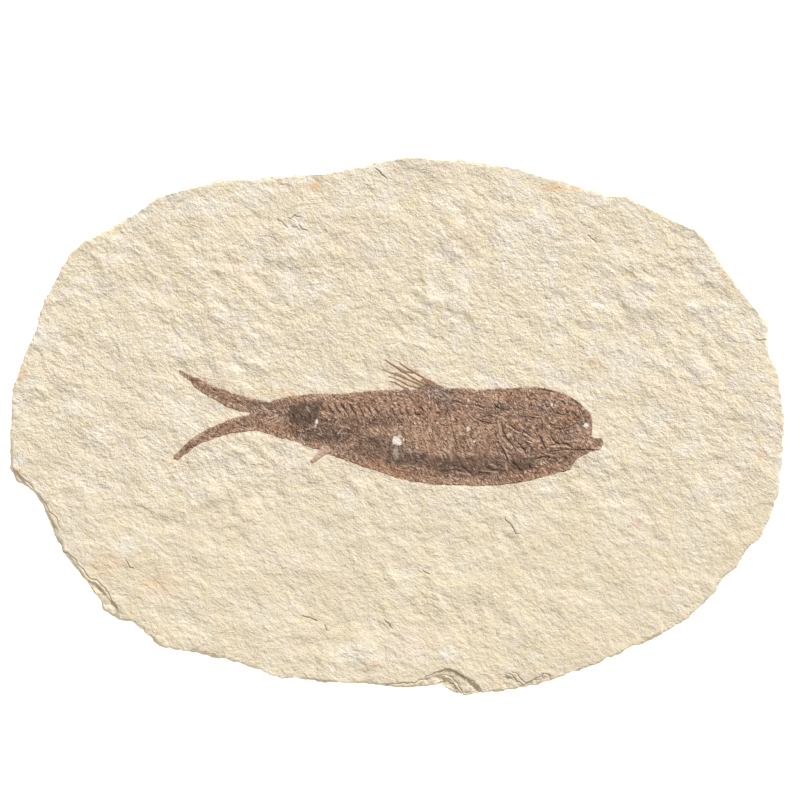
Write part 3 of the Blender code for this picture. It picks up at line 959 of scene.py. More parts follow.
def limestone():
    """The stone's finish, from the ground colour up."""
    stone_finish = Finish("pale_limestone", 0.92)
    grain = stone_finish.grain
    remap = stone_finish.remap
    lay = stone_finish.lay

    # slow drifts of tone, then grains of about half a millimetre
    colour = lay(CREAM, BEIGE, remap(grain(11 * MM, shift=0.3), 0.40, 0.66, 0.0, 0.6))
    colour = lay(colour, WHITE_STONE, remap(grain(6 * MM, detail=6.0, shift=0.1), 0.44, 0.66, 0.0, 0.8))
    colour = lay(colour, YELLOW_STONE, remap(grain(2.6 * MM, shift=0.5), 0.46, 0.66, 0.0, 0.6))
    colour = lay(colour, PEPPER, remap(grain(0.6 * MM, shift=0.2, stretch=1.3), 0.52, 0.75, 0.0, 0.6))
    colour = lay(colour, CHALK, remap(grain(0.5 * MM, shift=0.7), 0.52, 0.70, 0.0, 0.8))

    # stains, from the broadest, then painted shade in the cracks and the ledges' seams
    smoothness = remap(stone_finish.stored("rough"), 1.0, 1 - SMOOTHER_BELOW, 0.0, 0.3)
    colour = lay(colour, LOWER_STONE, smoothness)
    colour = lay(colour, RIM, stone_finish.times(stone_finish.stored("rim"), 0.45))
    colour = lay(colour, OCHRE, stone_finish.stored("ochre"))
    colour = lay(colour, BLUSH, stone_finish.stored("blush"))
    colour = lay(colour, CHALK, stone_finish.times(stone_finish.stored("chalk"), 0.5))
    # painted shade in the cracks and along the ledges' seams
    colour = lay(colour, CRACK_SHADE, stone_finish.times(stone_finish.stored("crack"), 0.7))

    # small relief, with painted shade in tiny pits
    fine = grain(1.3 * MM, detail=3.0, roughness=0.78, stretch=1.15)
    pits = grain(0.42 * MM, detail=1.0, shift=1.7, stretch=1.5)
    # painted shade: fine specks darkened as the shadow in tiny pits would be
    colour = lay(colour, PIT_SHADE, remap(pits, 0.42, 0.24, 0.0, 0.6))
    scratches = grain(1.3 * MM, detail=3.0, roughness=0.55, shift=0.9, stretch=2.4, ridged=True)
    rough_places = remap(grain(5 * MM, detail=2.0, shift=1.3), 0.38, 0.62, 0.2, 1.0)
    scratched = stone_finish.times(remap(scratches, 0.9, 1.6), rough_places)
    height = stone_finish.plus(fine, stone_finish.times(scratched, -0.12))
    height = stone_finish.times(height, stone_finish.stored("rough"))
    return stone_finish.finish(colour, height, 0.6 * MM)


slab.data.materials.clear()
slab.data.materials.append(limestone())
print("nodes in the stone's finish:", len(slab.data.materials[0].node_tree.nodes))

# %% [markdown]
# ## The fish
#
# The film of bone is a few tenths of a millimetre thick. It follows the lumps of the stone, and on
# it stand the bones: the row of vertebrae with their spines, the ribs, the gill cover, the cheek,
# the eye socket and the jaws. A fine grid is laid over the fish, cut back to a little outside its
# outline, and every vertex is set to a height. Outside the outline the sheet dives into the
# stone, so the edge that shows is where it comes out of the rock, as on the real thing. The lines
# that the eye picks out are given one by one: dark grooves first, darkened with painted shade,
# then pale raised hairs of bone, pale partly in tone and partly by painted highlight.

# %% Dark grooves, by points in millimetres
FINE_GROOVES = {
    "gill_slit_low": ((20.7, -3.1), (21.4, -4.2), (22.2, -5.4), (22.8, -6.9), (23.1, -7.5)),
    "gill_slit_high": (
        (21.6, 1.0), (21.8, -0.4), (22.2, -1.7), (22.8, -2.7), (23.6, -3.7), (24.5, -4.4),
    ),
    "cover_fold_high": ((23.0, 0.2), (24.1, -0.4), (25.1, -1.1), (25.7, -1.2)),
    "cover_fold_middle": ((26.1, -1.0), (27.0, -1.7), (27.8, -2.3), (28.4, -2.7)),
    "cover_fold_low": ((24.3, -2.9), (25.1, -3.5), (25.7, -4.4), (26.8, -5.8)),
    "cheek_top": ((27.0, 2.1), (27.8, 1.7), (28.8, 1.7), (29.7, 1.5), (30.1, 0.6), (29.9, -0.8)),
    "cheek_back": ((29.3, -1.7), (29.9, -2.7), (30.3, -3.5), (30.9, -5.0)),
    "cheek_low": ((29.5, -5.2), (29.9, -5.8), (30.5, -6.0)),
    "mouth": ((30.9, -3.9), (32.2, -4.0), (33.4, -3.7), (34.7, -3.6), (35.7, -4.0), (36.3, -4.4)),
    "jaw_line": ((31.3, -5.4), (33.0, -5.2), (34.3, -4.9), (37.0, -5.0), (42.2, -5.0)),
    "snout_fold": ((32.4, 0.2), (32.8, -0.4), (33.6, -0.7), (34.9, -0.5), (35.9, -0.1), (37.2, 0.6)),
    "eye_rim": ((32.2, 4.4), (32.6, 5.0), (33.4, 5.3), (34.3, 5.1), (34.8, 4.6), (34.9, 3.7)),
    "eye_low": ((32.8, 3.5), (33.4, 2.5), (34.3, 2.3), (35.1, 2.6), (35.9, 3.1)),
    "eye_back": ((30.3, 5.6), (30.7, 4.8), (31.1, 3.7)),
    "crown": ((26.8, 6.2), (27.6, 5.4), (28.4, 5.6), (29.3, 5.2)),
    "forehead": ((29.1, 7.6), (30.3, 7.5), (31.8, 7.2), (33.0, 7.1)),
    "snout_top": ((36.1, 5.8), (37.0, 4.8), (38.0, 4.4), (38.6, 3.7)),
    "upper_lip": ((40.1, -2.5), (41.3, -2.6), (42.2, -2.7)),
    "jaw_tip": ((42.8, -3.1), (42.9, -4.0), (42.4, -4.6)),
    "shoulder": ((19.9, 4.4), (20.7, 4.0), (21.4, 3.5), (22.6, 3.4), (23.9, 3.5)),
    "nape": ((10.9, 5.4), (12.6, 5.0), (13.6, 4.6), (14.7, 4.4)),
    "nape_front": ((15.9, 4.4), (17.0, 4.0), (18.2, 3.7)),
    "throat_back": ((13.2, -8.3), (14.3, -9.2), (15.7, -10.4)),
    "throat_front": ((23.6, -7.5), (24.5, -8.1), (25.3, -9.0), (26.1, -9.4)),
    "cheek_crease": ((31.8, -2.1), (32.4, -2.9), (33.0, -3.5), (33.8, -4.0)),
    "cheek_crease_back": ((30.7, -0.4), (31.6, -1.0), (32.2, -1.9)),
    "chin_back": ((32.4, -6.7), (33.2, -7.3), (34.1, -8.1)),
    "chin_front": ((34.5, -6.2), (35.3, -7.1), (36.1, -7.7)),
    "nostril": ((36.1, 3.1), (37.0, 2.3), (37.8, 1.5)),
    "arm_bone": ((16.8, 1.2), (18.2, 0.8), (19.7, 0.4)),
    "cover_back": ((20.3, -1.5), (20.7, -2.5), (21.1, -3.1)),
    "breast_back": ((16.8, -9.6), (19.3, -9.8)),
    "tail_fold": ((-27.6, 4.1), (-26.7, 3.3), (-25.8, 2.4)),
    "throat_line": ((28.3, -6.9), (30.6, -6.5), (32.6, -6.9), (33.4, -7.5)),
    "breast": ((19.3, -9.2), (20.9, -9.2), (22.4, -9.6)),
}
print("grooves:", len(FINE_GROOVES))

# %% Raised bones, pale partly in tone and partly by painted highlight, by points in millimetres
FINE_RIDGES = {
    "gill_rim_low": ((21.8, -4.2), (22.6, -5.4), (23.2, -6.7), (23.6, -7.1)),
    "gill_rim_middle": ((21.4, -2.1), (22.2, -3.1), (23.2, -4.2), (24.1, -5.0)),
    "gill_rim_high": ((20.7, 1.0), (21.1, -0.4), (21.4, -2.1)),
    "cover_rib": ((26.3, -1.7), (27.4, -2.3), (28.2, -2.9)),
    "cheek_rib": ((30.3, -2.1), (30.9, -3.1), (31.8, -3.5)),
    "jaw_bone": ((40.1, -4.6), (41.1, -4.7), (42.4, -4.6)),
    "jaw_bone_back": ((31.8, -4.3), (33.8, -4.2), (35.9, -4.5)),
    "cover_low": ((24.5, -4.4), (25.5, -5.4), (26.1, -6.2)),
    "cover_high": ((23.0, 0.0), (24.3, -1.0), (25.5, -1.5)),
    "breast_spine": ((22.4, -7.7), (22.8, -9.2)),
    "cheek_base": ((31.1, -6.0), (32.4, -6.1), (33.8, -6.5)),
    "tail_ray_high": ((-28.6, 4.4), (-27.4, 3.4), (-25.9, 2.4)),
    "tail_ray_low": ((-28.2, 0.2), (-26.6, 0.9), (-24.9, 1.7)),
    "tail_ray_inner": ((-25.8, 0.5), (-24.9, 1.0), (-24.1, 1.5)),
    "tail_ray_middle": ((-27.8, 1.0), (-26.1, 1.8), (-24.7, 2.4)),
    "hair_in_dark": ((-19.1, 4.1), (-18.6, 3.4), (-18.2, 2.8)),
    "hair_below_column": ((-13.3, -0.1), (-12.7, 0.8), (-12.0, 1.5)),
    "hair_lower": ((-12.6, -1.9), (-12.1, -1.3), (-11.6, -0.7)),
    "hair_by_fleck": ((-19.3, -0.8), (-17.8, -0.4), (-16.9, 0.1)),
    "hair_flat": ((-12.2, 0.1), (-11.0, -0.2), (-9.8, -0.6)),
    "belly_rib_high": ((19.0, -8.0), (19.9, -8.3), (20.7, -8.7)),
    "belly_rib_low": ((17.3, -9.5), (19.0, -9.5), (20.7, -9.8)),
    "belly_rib_back": ((12.0, -9.6), (13.8, -10.0), (15.4, -10.1)),
    "chin_bone": ((33.0, -8.0), (33.7, -7.3), (34.3, -6.7)),
    "jaw_top": ((34.3, -3.5), (36.3, -3.2), (38.3, -3.1)),
    "eye_ring": (
        (33.0, 3.5), (32.7, 4.3), (33.1, 5.0), (34.2, 5.5), (35.0, 4.9), (35.0, 4.0), (34.4, 3.3),
    ),
}
print("ridges:", len(FINE_RIDGES))

# %% [markdown]
# ### Backbone, spines, ribs and folds
#
# What repeats is worked out by loops: a dark seam between vertebrae and short spines above and
# below them along the backbone, fine stripes of ribs over the flank, rays along the tail lobes,
# and thin folds of dried skin that run mostly one way. Only the spines that stand out clearly in
# front of the back fin are drawn by their points.

# %% Backbone and spines
BACKBONE = (
    (-26.0, 2.0), (-16.0, 1.8), (-8.0, 1.9), (-2.0, 2.5), (4.0, 2.9), (10.0, 3.1), (15.0, 4.2),
)
VERTEBRA_PITCH = 1.52
UPPER_SPINES = (
    ((-16.1, 4.5), (-15.2, 3.0)), ((-14.6, 4.3), (-13.9, 3.3), (-13.3, 2.5)),
    ((-13.3, 5.0), (-12.7, 3.6), (-11.7, 2.4)), ((-12.1, 4.9), (-11.2, 3.6), (-10.2, 2.2), (-10.1, 1.7)),
    ((-10.1, 4.7), (-9.4, 3.4), (-8.4, 2.0)), ((-8.4, 4.5), (-7.6, 3.2), (-7.1, 2.2), (-7.3, 1.8)),
    ((-7.1, 5.0), (-6.3, 3.8), (-5.5, 2.6), (-5.4, 2.1)),
    ((-5.4, 4.5), (-4.5, 3.2), (-4.0, 2.7), (-4.0, 2.1)),
)
COLUMN_TICKS = (
    ((-2.9, 5.4), (-2.2, 4.7)), ((-1.1, 3.6), (-0.9, 2.6), (-0.4, 2.3)),
    ((0.4, 3.7), (0.6, 2.8), (1.0, 2.2)), ((-0.1, 4.7), (0.4, 4.0)), ((1.7, 3.6), (2.0, 2.8), (2.5, 2.2)),
    ((3.3, 3.9), (3.6, 3.0), (3.8, 2.3), (4.7, 2.4)), ((5.0, 3.8), (5.4, 2.8)), ((6.5, 3.7), (7.1, 2.9)),
)


def on_backbone(x):
    """The height, across the fish, of the backbone at a place along it."""
    return float(np.interp(x, *zip(*BACKBONE)))


def spine_lines():
    """The dark seams between vertebrae, and the short spines below and above them."""
    seams, below, stubs = [], [], []
    count = int((BACKBONE[-1][0] - BACKBONE[0][0]) / VERTEBRA_PITCH)
    for number in range(1, count):
        sway = noise.noise(Vector((number * 1.7, 3.0, 0)))
        x = BACKBONE[0][0] + (number + 0.5 * sway) * VERTEBRA_PITCH
        y = on_backbone(x)
        near_shoulder = 7 < x < 14
        near_tail = x < -16
        over_gut = -17 < x < 2
        if near_tail or near_shoulder:
            seams.append(((x - 0.35, y + 0.6), (x + 0.1, y + 0.1), (x - 0.1 + sway, y - 0.5)))
        if over_gut:
            below.append(((x, y - 0.6), (x - 0.9 + sway, y - 1.7), (x - 2.0, y - 3.0 + sway)))
        if near_shoulder:
            stubs.append(((x - 1.1 + sway, y + 2.0), (x - 0.4, y + 0.7)))
    return seams, below, stubs


vertebra_seams, lower_spines, spine_stubs = spine_lines()
print("seams between vertebrae:", len(vertebra_seams))


# %% Ribs and folds
RIB_CAGE = [
    (-1.1, 0.2), (4.7, 1.2), (17.2, 0.2), (19.3, -2.9), (18.2, -7.1), (8.9, -8.1), (0.5, -7.5),
]
RIB_PITCH = 0.45
RIB_LEAN = 0.35        # how far a rib leans to the side for each millimetre down
RIB_LENGTH = 4.0


def rib_stripes(spots):
    """Fine uneven stripes, -1 to 1, where the ribs show through the flank."""
    across = spots[:, 0] + RIB_LEAN * spots[:, 1]
    leaning = np.column_stack((across / RIB_PITCH, spots[:, 1] / RIB_LENGTH))
    over_flank = soft_step(depth_inside(spots, RIB_CAGE), -0.5, 1.5)
    return over_flank * ripple(leaning, 1.0, 44)


FOLDS = (
    # angle, spacing mm, strength, and the area they cover
    (-52, 0.9, 1.0, [(21.0, 8.5), (43.0, 8.5), (44.0, -9.0), (24.0, -12.0), (22.0, -4.0)]),
    (-18, 1.1, 0.8, [(22.0, 8.5), (43.0, 8.5), (44.0, -9.0), (24.0, -12.0), (23.0, -4.0)]),
    (-4, 0.8, 0.9, [(2.0, -6.5), (21.0, -6.5), (24.0, -8.0), (24.0, -11.5), (8.0, -11.0), (2.0, -9.0)]),
    (-62, 0.8, 0.6, [(-26.0, 7.5), (21.0, 8.5), (21.0, -4.0), (0.0, -8.0), (-20.0, -4.0)]),
    (-25, 1.0, 0.6, [(-26.0, 7.5), (21.0, 8.5), (21.0, 0.0), (0.0, -4.0), (-24.0, -3.0)]),
)
FOLD_STRETCH = 3.0
FOLD_THINNESS = 0.13       # a fold is where its noise is this close to nothing
FOLD_FADE_SPACING = 1.6


def folds(spots):
    """Thin lines, 0 to 1, that run mostly one way and fade in and out like folds in dried skin."""
    total = np.zeros(len(spots))
    for layer, (angle, spacing, strength, area) in enumerate(FOLDS):
        level = ripple(turned(spots, math.radians(angle), FOLD_STRETCH), spacing, 70 + layer)
        fade = soft_step(ripple(spots, FOLD_FADE_SPACING, 80 + layer), -0.4, 0.2)
        covered = soft_step(depth_inside(spots, area), -0.8, 0.8)
        lines = np.clip(1 - np.abs(level) / FOLD_THINNESS, 0, 1)
        total = np.maximum(total, strength * fade * covered * lines)
    return total


cage_depth = depth_inside(np.array([(9.0, -3.5)]), RIB_CAGE)[0]
print("depth of the rib cage at its middle, mm:", round(float(cage_depth), 1))


# %% Rays of the tail
RAYS_PER_LOBE = 5


def fan_of_rays():
    """Lines that run out along both tail lobes, closely side by side."""
    lobes = (
        ((-26.0, 4.6), (-30.5, 5.2), (-36.0, 7.2), (-41.5, 9.2), (-45.0, 11.4)),
        ((-26.0, 3.0), (-31.0, 3.9), (-36.0, 5.0), (-41.0, 8.0), (-45.0, 11.2)),
        ((-26.0, 1.6), (-31.0, 2.2), (-36.0, 0.4), (-41.0, -2.0), (-46.0, -6.0)),
        ((-26.0, -1.0), (-31.0, -0.6), (-36.0, -1.5), (-41.0, -3.5), (-46.0, -6.8)),
    )
    lines = []
    for first, last in (lobes[:2], lobes[2:]):
        for number in range(1, RAYS_PER_LOBE + 1):
            share = number / (RAYS_PER_LOBE + 1)
            lines.append(tuple(
                (a[0] + (b[0] - a[0]) * share, a[1] + (b[1] - a[1]) * share)
                for a, b in zip(first, last)
            ))
    return lines


tail_rays = fan_of_rays()
print("rays of the tail:", len(tail_rays))

# %% [markdown]
# ### The sheet
#
# The grid is cut back to the fish with a small margin, and corners left without a face go too.

# %% Sheet of the fish, in millimetres
FISH_CELL = 0.14
SHEET_MARGIN = 0.5
SHEET_SIZE = (91.0, 28.4)
SHEET_CENTRE = (-1.9, 0.5)

sheet = bmesh.new()
cells_along = round(SHEET_SIZE[0] / FISH_CELL)
cells_across = round(SHEET_SIZE[1] / FISH_CELL)
bmesh.ops.create_grid(sheet, x_segments=cells_along, y_segments=cells_across, size=0.5)
bmesh.ops.scale(sheet, verts=sheet.verts, vec=(SHEET_SIZE[0], SHEET_SIZE[1], 1))
bmesh.ops.translate(sheet, verts=sheet.verts, vec=(*SHEET_CENTRE, 0))
depth = fish_depth(np.array([v.co.xy for v in sheet.verts]))
far_off = [v for v, d in zip(sheet.verts, depth) if d < -SHEET_MARGIN]
bmesh.ops.delete(sheet, geom=far_off, context="VERTS")
loose = [v for v in sheet.verts if not v.link_faces]
bmesh.ops.delete(sheet, geom=loose, context="VERTS")
print("squares of the sheet:", len(sheet.faces))


# %% [markdown]
# ### Its relief
#
# Each vertex takes the height of the stone's face, then that of the film, which is thin at the
# edge and thickest along the body, and then the sum of all the small bones, seams and folds. One
# table lists every kind of drawn line, because the same lines that are cut as grooves here are
# darkened later with painted shade, as their shadow would be.

# %% Height of the film and its bones
FILM_EDGE = 0.08
FILM_CROWN = 0.32
STRIP_HEIGHT = 0.07
DIVE = 0.4                 # how far the sheet lies in the stone outside the fish's outline
COLUMN_HEIGHT = 0.12
COLUMN_HALF_WIDTH = 0.55
FOLD_DEPTH = 0.15
RIB_HEIGHT = 0.08
RIDGE_HEIGHT = 0.16
BONE_RIPPLES = (
    # spacing and height in mm, and the angle that the ripples run along
    (1.4, 0.06, -40), (0.6, 0.065, -62), (0.5, 0.055, -25), (0.3, 0.05, -62),
)
RIPPLE_STRETCH = 2.0
GROOVES = (
    # lines and how far they waver, then half width, unevenness and depth of the groove, and
    # half width, unevenness and strength of its painted shade
    (vertebra_seams, 0.2, (0.13, 0.25, 0.2), (0.13, 0.25, 1.0)),
    ([*UPPER_SPINES, *COLUMN_TICKS], 0.06, (0.13, 0.1, 0.3), (0.13, 0.1, 1.0)),
    (lower_spines, 0.3, (0.14, 0.6, 0.08), (0.14, 0.6, 0.4)),
    (spine_stubs, 0.2, (0.13, 0.4, 0.15), (0.13, 0.4, 0.9)),
    (tail_rays, 0.2, (0.14, 0.6, 0.08), (0.13, 0.6, 0.4)),
    (FINE_GROOVES.values(), 0.12, (0.14, 0.1, 0.25), (0.12, 0.2, 1.0)),
)


def film(spots, depth):
    """How far the fish stands above the stone's face, without its bones."""
    body = soft_step(depth, 0.0, 5.0)
    inside_edge = soft_step(depth, -0.12, 0.08)
    strip = STRIP_HEIGHT * soft_step(strip_depth(spots), -0.1, 0.05)
    return inside_edge * (FILM_EDGE + FILM_CROWN * body + strip) - (1 - inside_edge) * DIVE


def bones(spots, depth):
    """The relief of the skeleton and of the film's own roughness, in millimetres."""
    solid = soft_step(depth, -0.05, 0.4)
    relief = np.zeros(len(spots))
    for layer, (spacing, height, angle) in enumerate(BONE_RIPPLES):
        along = turned(spots, math.radians(angle), RIPPLE_STRETCH)
        relief += height * ripple(along, spacing, 90 + layer)
    column, _ = nearest_on_line(spots, BACKBONE)
    swelling = COLUMN_HEIGHT * np.exp(-((column / COLUMN_HALF_WIDTH) ** 2))
    relief += swelling * soft_step(spots[:, 0], -22, -17)     # the column sinks into the tail
    for lines, wobble, (half_width, uneven, deep), _ in GROOVES:
        relief -= deep * strokes(spots, lines, half_width, wobble, uneven)
    relief -= FOLD_DEPTH * folds(spots)
    relief += RIB_HEIGHT * rib_stripes(spots)
    relief += RIDGE_HEIGHT * strokes(spots, FINE_RIDGES.values(), 0.16, 0.12, 0.15)
    return solid * relief


sheet_spots = np.array([v.co.xy for v in sheet.verts])
sheet_depth = fish_depth(sheet_spots)
sheet_heights = (
    face_height(sheet_spots) + film(sheet_spots, sheet_depth) + bones(sheet_spots, sheet_depth)
)
for corner, height in zip(sheet.verts, sheet_heights):
    corner.co.z = height
print("highest bone, mm above the table:", round(float(sheet_heights.max()), 2))

# %% [markdown]
# ### Closing the sheet
#
# A surface alone has no inside, so its rim is drawn down to the depth where the solid's film ends
# and closed underneath. All of that is buried in the stone.

# %% Skirt and underside of the sheet
SHEET_BOTTOM = 8.42        # mm above the table, within the solid's film

rim = [e for e in sheet.edges if e.is_boundary]
drawn = bmesh.ops.extrude_edge_only(sheet, edges=rim)["geom"]
for corner in drawn:
    if isinstance(corner, bmesh.types.BMVert):
        corner.co.z = SHEET_BOTTOM
lower_rim = [e for e in drawn if isinstance(e, bmesh.types.BMEdge)]
bmesh.ops.triangle_fill(sheet, edges=lower_rim, use_beauty=True)
bmesh.ops.scale(sheet, verts=sheet.verts, vec=(MM, MM, MM))
bmesh.ops.recalc_face_normals(sheet, faces=sheet.faces)
print("fish closed:", all(e.is_manifold for e in sheet.edges))
fish = object_of("fossil_fish_film", sheet)

# %% [markdown]
# ### What each part of the fish is made of
#
# The film isn't one brown. Where the gut and the thickest flesh lay it is almost black, along the
# belly it is rusty, over the flank it is a light tan, and here and there a grey film or a speck of
# white mineral lies on it. As on the stone, every kind is stored as an amount on the vertices.

# %% Areas of the fish: a strength, and an outline in millimetres
CHAR = (
    (0.15, [(22.0, -4.0), (27.0, -4.4), (32.0, -6.6), (27.0, -8.8), (23.5, -9.0), (22.6, -6.0)]),
    (1.0, [(-22.2, 4.4), (-18.6, 5.1), (-15.3, 5.0), (-16.3, 3.1), (-16.7, 1.7), (-17.7, -0.3),
           (-20.1, -0.1), (-22.5, 0.8), (-22.8, 3.3)]),
    (0.9, [(25.1, -7.5), (27.6, -7.1), (29.1, -7.7), (28.6, -8.7), (26.3, -9.4), (24.1, -9.2)]),
    (0.8, [(-3.0, -6.7), (-0.5, -5.4), (3.6, -5.6), (7.2, -6.0), (11.4, -6.2), (16.1, -6.4),
           (20.7, -6.0), (23.0, -6.4), (25.9, -6.0), (28.6, -6.8), (28.8, -8.3), (26.3, -9.4),
           (23.0, -9.9), (19.3, -10.2), (15.5, -10.9), (10.9, -10.3), (6.8, -9.0), (2.6, -7.9),
           (-0.5, -8.3), (-2.6, -8.1)]),
    (0.75, [(-9.3, -3.5), (-6.8, -2.7), (-4.1, -2.5), (-2.4, -3.1), (-2.6, -6.2), (-4.9, -7.3),
            (-7.8, -6.2), (-9.5, -5.0)]),
    (0.4, [(-10.4, -1.6), (-6.0, -0.9), (-2.2, -1.8), (-2.4, -5.4), (-6.4, -6.4), (-10.2, -4.2)]),
    (0.35, [(-23.4, 0.4), (-18.6, 0.6), (-13.0, 1.8), (-9.0, 1.6), (-8.8, -3.8), (-12.4, -4.2),
            (-16.4, -3.8), (-20.2, -2.8), (-23.2, -1.6)]),
    (0.7, [(-2.4, -3.1), (-1.1, -2.3), (0.9, -2.9), (1.4, -5.4), (0.7, -7.9), (-2.0, -8.1),
           (-3.0, -6.2)]),
    (0.5, [(33.8, -1.2), (35.1, -0.8), (35.7, -2.1), (34.9, -2.9), (33.6, -2.5)]),
    (0.6, [(38.0, 0.8), (39.7, 1.0), (40.1, -0.4), (39.9, -1.7), (38.4, -1.5)]),
)
PLUM = (
    (0.75, [(-30.8, 4.6), (-28.6, 5.2), (-24.6, 5.2), (-24.4, 1.8), (-28.0, 1.4), (-30.8, 2.4)]),
    (0.9, [(-21.8, -0.8), (-18.2, -0.4), (-14.1, -0.2), (-10.9, -0.6), (-8.6, -1.0), (-9.5, -2.5),
            (-10.9, -3.3), (-14.1, -3.1), (-17.8, -3.1), (-20.3, -2.5), (-22.0, -1.9)]),
    (0.7, [(-17.8, 0.9), (-12.4, 1.8), (-4.0, 2.2), (0.5, 1.6), (0.5, -0.2), (-5.7, -0.2),
           (-12.0, -0.2), (-17.2, -0.3)]),
    (0.7, [(-26.4, 3.8), (-22.0, 4.4), (-20.5, 3.0), (-21.0, 0.8), (-24.5, 1.2), (-26.6, 2.2)]),
    (0.45, [(8.2, 5.4), (10.9, 5.8), (15.1, 5.0), (17.6, 4.4), (15.1, 3.5), (10.9, 3.3), (8.4, 4.0)]),
    (0.5, [(14.7, 2.9), (18.2, 3.3), (21.8, 2.9), (22.0, 1.2), (19.3, 0.2), (16.1, 0.6), (14.3, 1.7)]),
    (0.5, [(30.9, 2.9), (32.4, 4.2), (34.1, 3.3), (34.1, 2.1), (32.2, 1.2), (30.9, 1.7)]),
    (0.5, [(25.4, 2.8), (28.6, 2.6), (28.8, -1.0), (25.8, -0.8)]),
    (0.4, [(31.0, 0.8), (33.4, 1.0), (33.2, -1.0), (31.0, -0.9)]),
    (0.35, [(12.6, -4.6), (17.0, -2.4), (22.0, -0.8), (25.6, -1.8), (30.6, -4.4), (30.2, -7.0),
            (22.0, -6.6), (14.0, -6.4)]),
    (0.35, [(-9.4, 6.4), (0.0, 7.2), (9.0, 8.0), (12.4, 7.2), (9.6, 4.6), (5.6, 4.4), (0.0, 5.8)]),
    (0.2, [(22.0, -4.0), (28.0, -4.6), (33.0, -1.4), (38.0, -0.6), (39.5, -3.0), (33.0, -6.0),
            (28.0, -6.6), (24.0, -6.6)]),
    (0.5, [(1.2, -5.0), (3.6, -4.4), (6.0, -5.4), (6.0, -7.0), (2.5, -7.2)]),
)
RUST = (
    (0.6, [(-27.0, 0.4), (-25.3, 1.5), (-22.4, 0.4), (-21.6, -0.8), (-23.6, -1.5), (-26.6, -0.8)]),
    (0.8, [(-9.5, -7.1), (-5.3, -7.3), (-1.6, -8.1), (1.4, -9.0), (4.6, -10.8), (0.1, -10.9),
           (-3.6, -9.8), (-7.8, -8.7)]),
    (0.45, [(20.1, 7.3), (22.4, 7.7), (25.5, 7.5), (29.6, 7.4), (27.5, 5.6), (22.4, 5.4), (20.5, 6.0)]),
    (0.35, [(33.0, 1.8), (36.0, 3.4), (38.4, 2.4), (37.0, 0.6), (34.0, 0.2)]),
    (0.4, [(24.5, -9.9), (29.0, -9.2), (33.0, -8.6), (32.5, -9.6), (28.0, -10.9), (24.0, -11.4)]),
    (0.3, [(-15.0, 6.2), (-6.0, 6.8), (-4.0, 4.6), (-10.0, 4.0), (-15.0, 4.4)]),
)
SLATE = (
    (0.95, [(5.5, 7.7), (7.2, 8.5), (8.9, 7.9), (10.9, 6.9), (10.3, 5.8), (7.6, 5.6), (5.5, 6.2)]),
    (0.8, [(28.0, 4.2), (29.5, 5.2), (30.9, 4.8), (30.9, 3.1), (29.3, 2.5), (27.8, 2.9)]),
    (0.3, [(33.0, -1.2), (38.0, -0.4), (38.6, -2.2), (34.0, -3.2)]),
)
TAN = (
    (0.5, [(-26.0, 5.3), (-22.0, 6.3), (-18.0, 6.6), (-18.0, 5.1), (-24.0, 4.8)]),
    (0.55, [(0.1, 0.4), (4.7, 1.2), (10.9, 1.0), (17.2, 0.4), (20.5, 0.0), (21.1, -2.9),
            (20.1, -5.8), (15.1, -6.0), (9.9, -5.8), (4.7, -5.0), (0.9, -4.2)]),
    (0.4, [(-18.0, 6.6), (-6.0, 6.9), (5.0, 7.2), (5.0, 4.4), (-4.0, 4.0), (-16.0, 5.2)]),
    (0.35, [(25.5, 7.0), (32.0, 6.6), (36.5, 4.4), (34.0, 5.8), (28.0, 5.8)]),
    (0.4, [(2.6, -8.5), (8.8, -9.9), (15.1, -10.6), (15.1, -12.2), (6.8, -11.8), (2.6, -10.8)]),
)
SKIN = [(5.6, 8.2), (6.0, 10.0), (2.0, 12.9), (-3.0, 14.6), (-4.2, 11.0), (-1.0, 7.9), (3.6, 8.0)]
FLECKS = (
    # x, y, half width, half height and strength
    (-0.2, -3.1, 1.05, 0.95, 1.0), (-16.8, 0.9, 0.3, 0.42, 1.0), (-17.0, -0.2, 0.22, 0.4, 0.4),
    (-14.3, 1.4, 0.18, 0.16, 0.8), (14.7, 5.4, 0.2, 0.42, 0.7), (14.4, 4.1, 0.2, 0.3, 0.5),
    (14.7, -0.6, 0.35, 0.42, 0.8), (16.0, -3.2, 0.3, 0.22, 0.9), (23.0, -1.9, 0.2, 0.3, 0.8),
    (32.1, 4.4, 0.2, 0.28, 0.8), (39.3, 0.1, 0.42, 0.6, 0.9), (8.2, 0.6, 0.28, 0.24, 0.5),
    (-0.3, -5.6, 0.5, 1.4, 0.22),
)
print("areas on the fish:", sum(len(areas) for areas in (CHAR, PLUM, RUST, SLATE, TAN)))

# %% Storing the areas
fish_spots = places(fish.data)[:, :2]
store(fish.data, "char", zones(fish_spots, CHAR, 0.7, 0.6, 51))
store(fish.data, "plum", zones(fish_spots, PLUM, 0.7, 1.0, 53))
store(fish.data, "rust", zones(fish_spots, RUST, 0.7, 0.9, 55))
store(fish.data, "slate", zones(fish_spots, SLATE, 0.5, 0.7, 57))
store(fish.data, "tan", zones(fish_spots, TAN, 0.8, 0.9, 59))
store(fish.data, "skin", zones(fish_spots, ((1.0, SKIN),), 0.3, 0.3, 63))
store(fish.data, "fleck", patches(fish_spots, FLECKS, 0.6, 61, spacing=0.6, soft=0.3))
print("amounts on the fish:", amounts(fish.data))

# %% Storing the lines
THIN_EDGE = 1.2      # the film is thin this close to its outline, mm

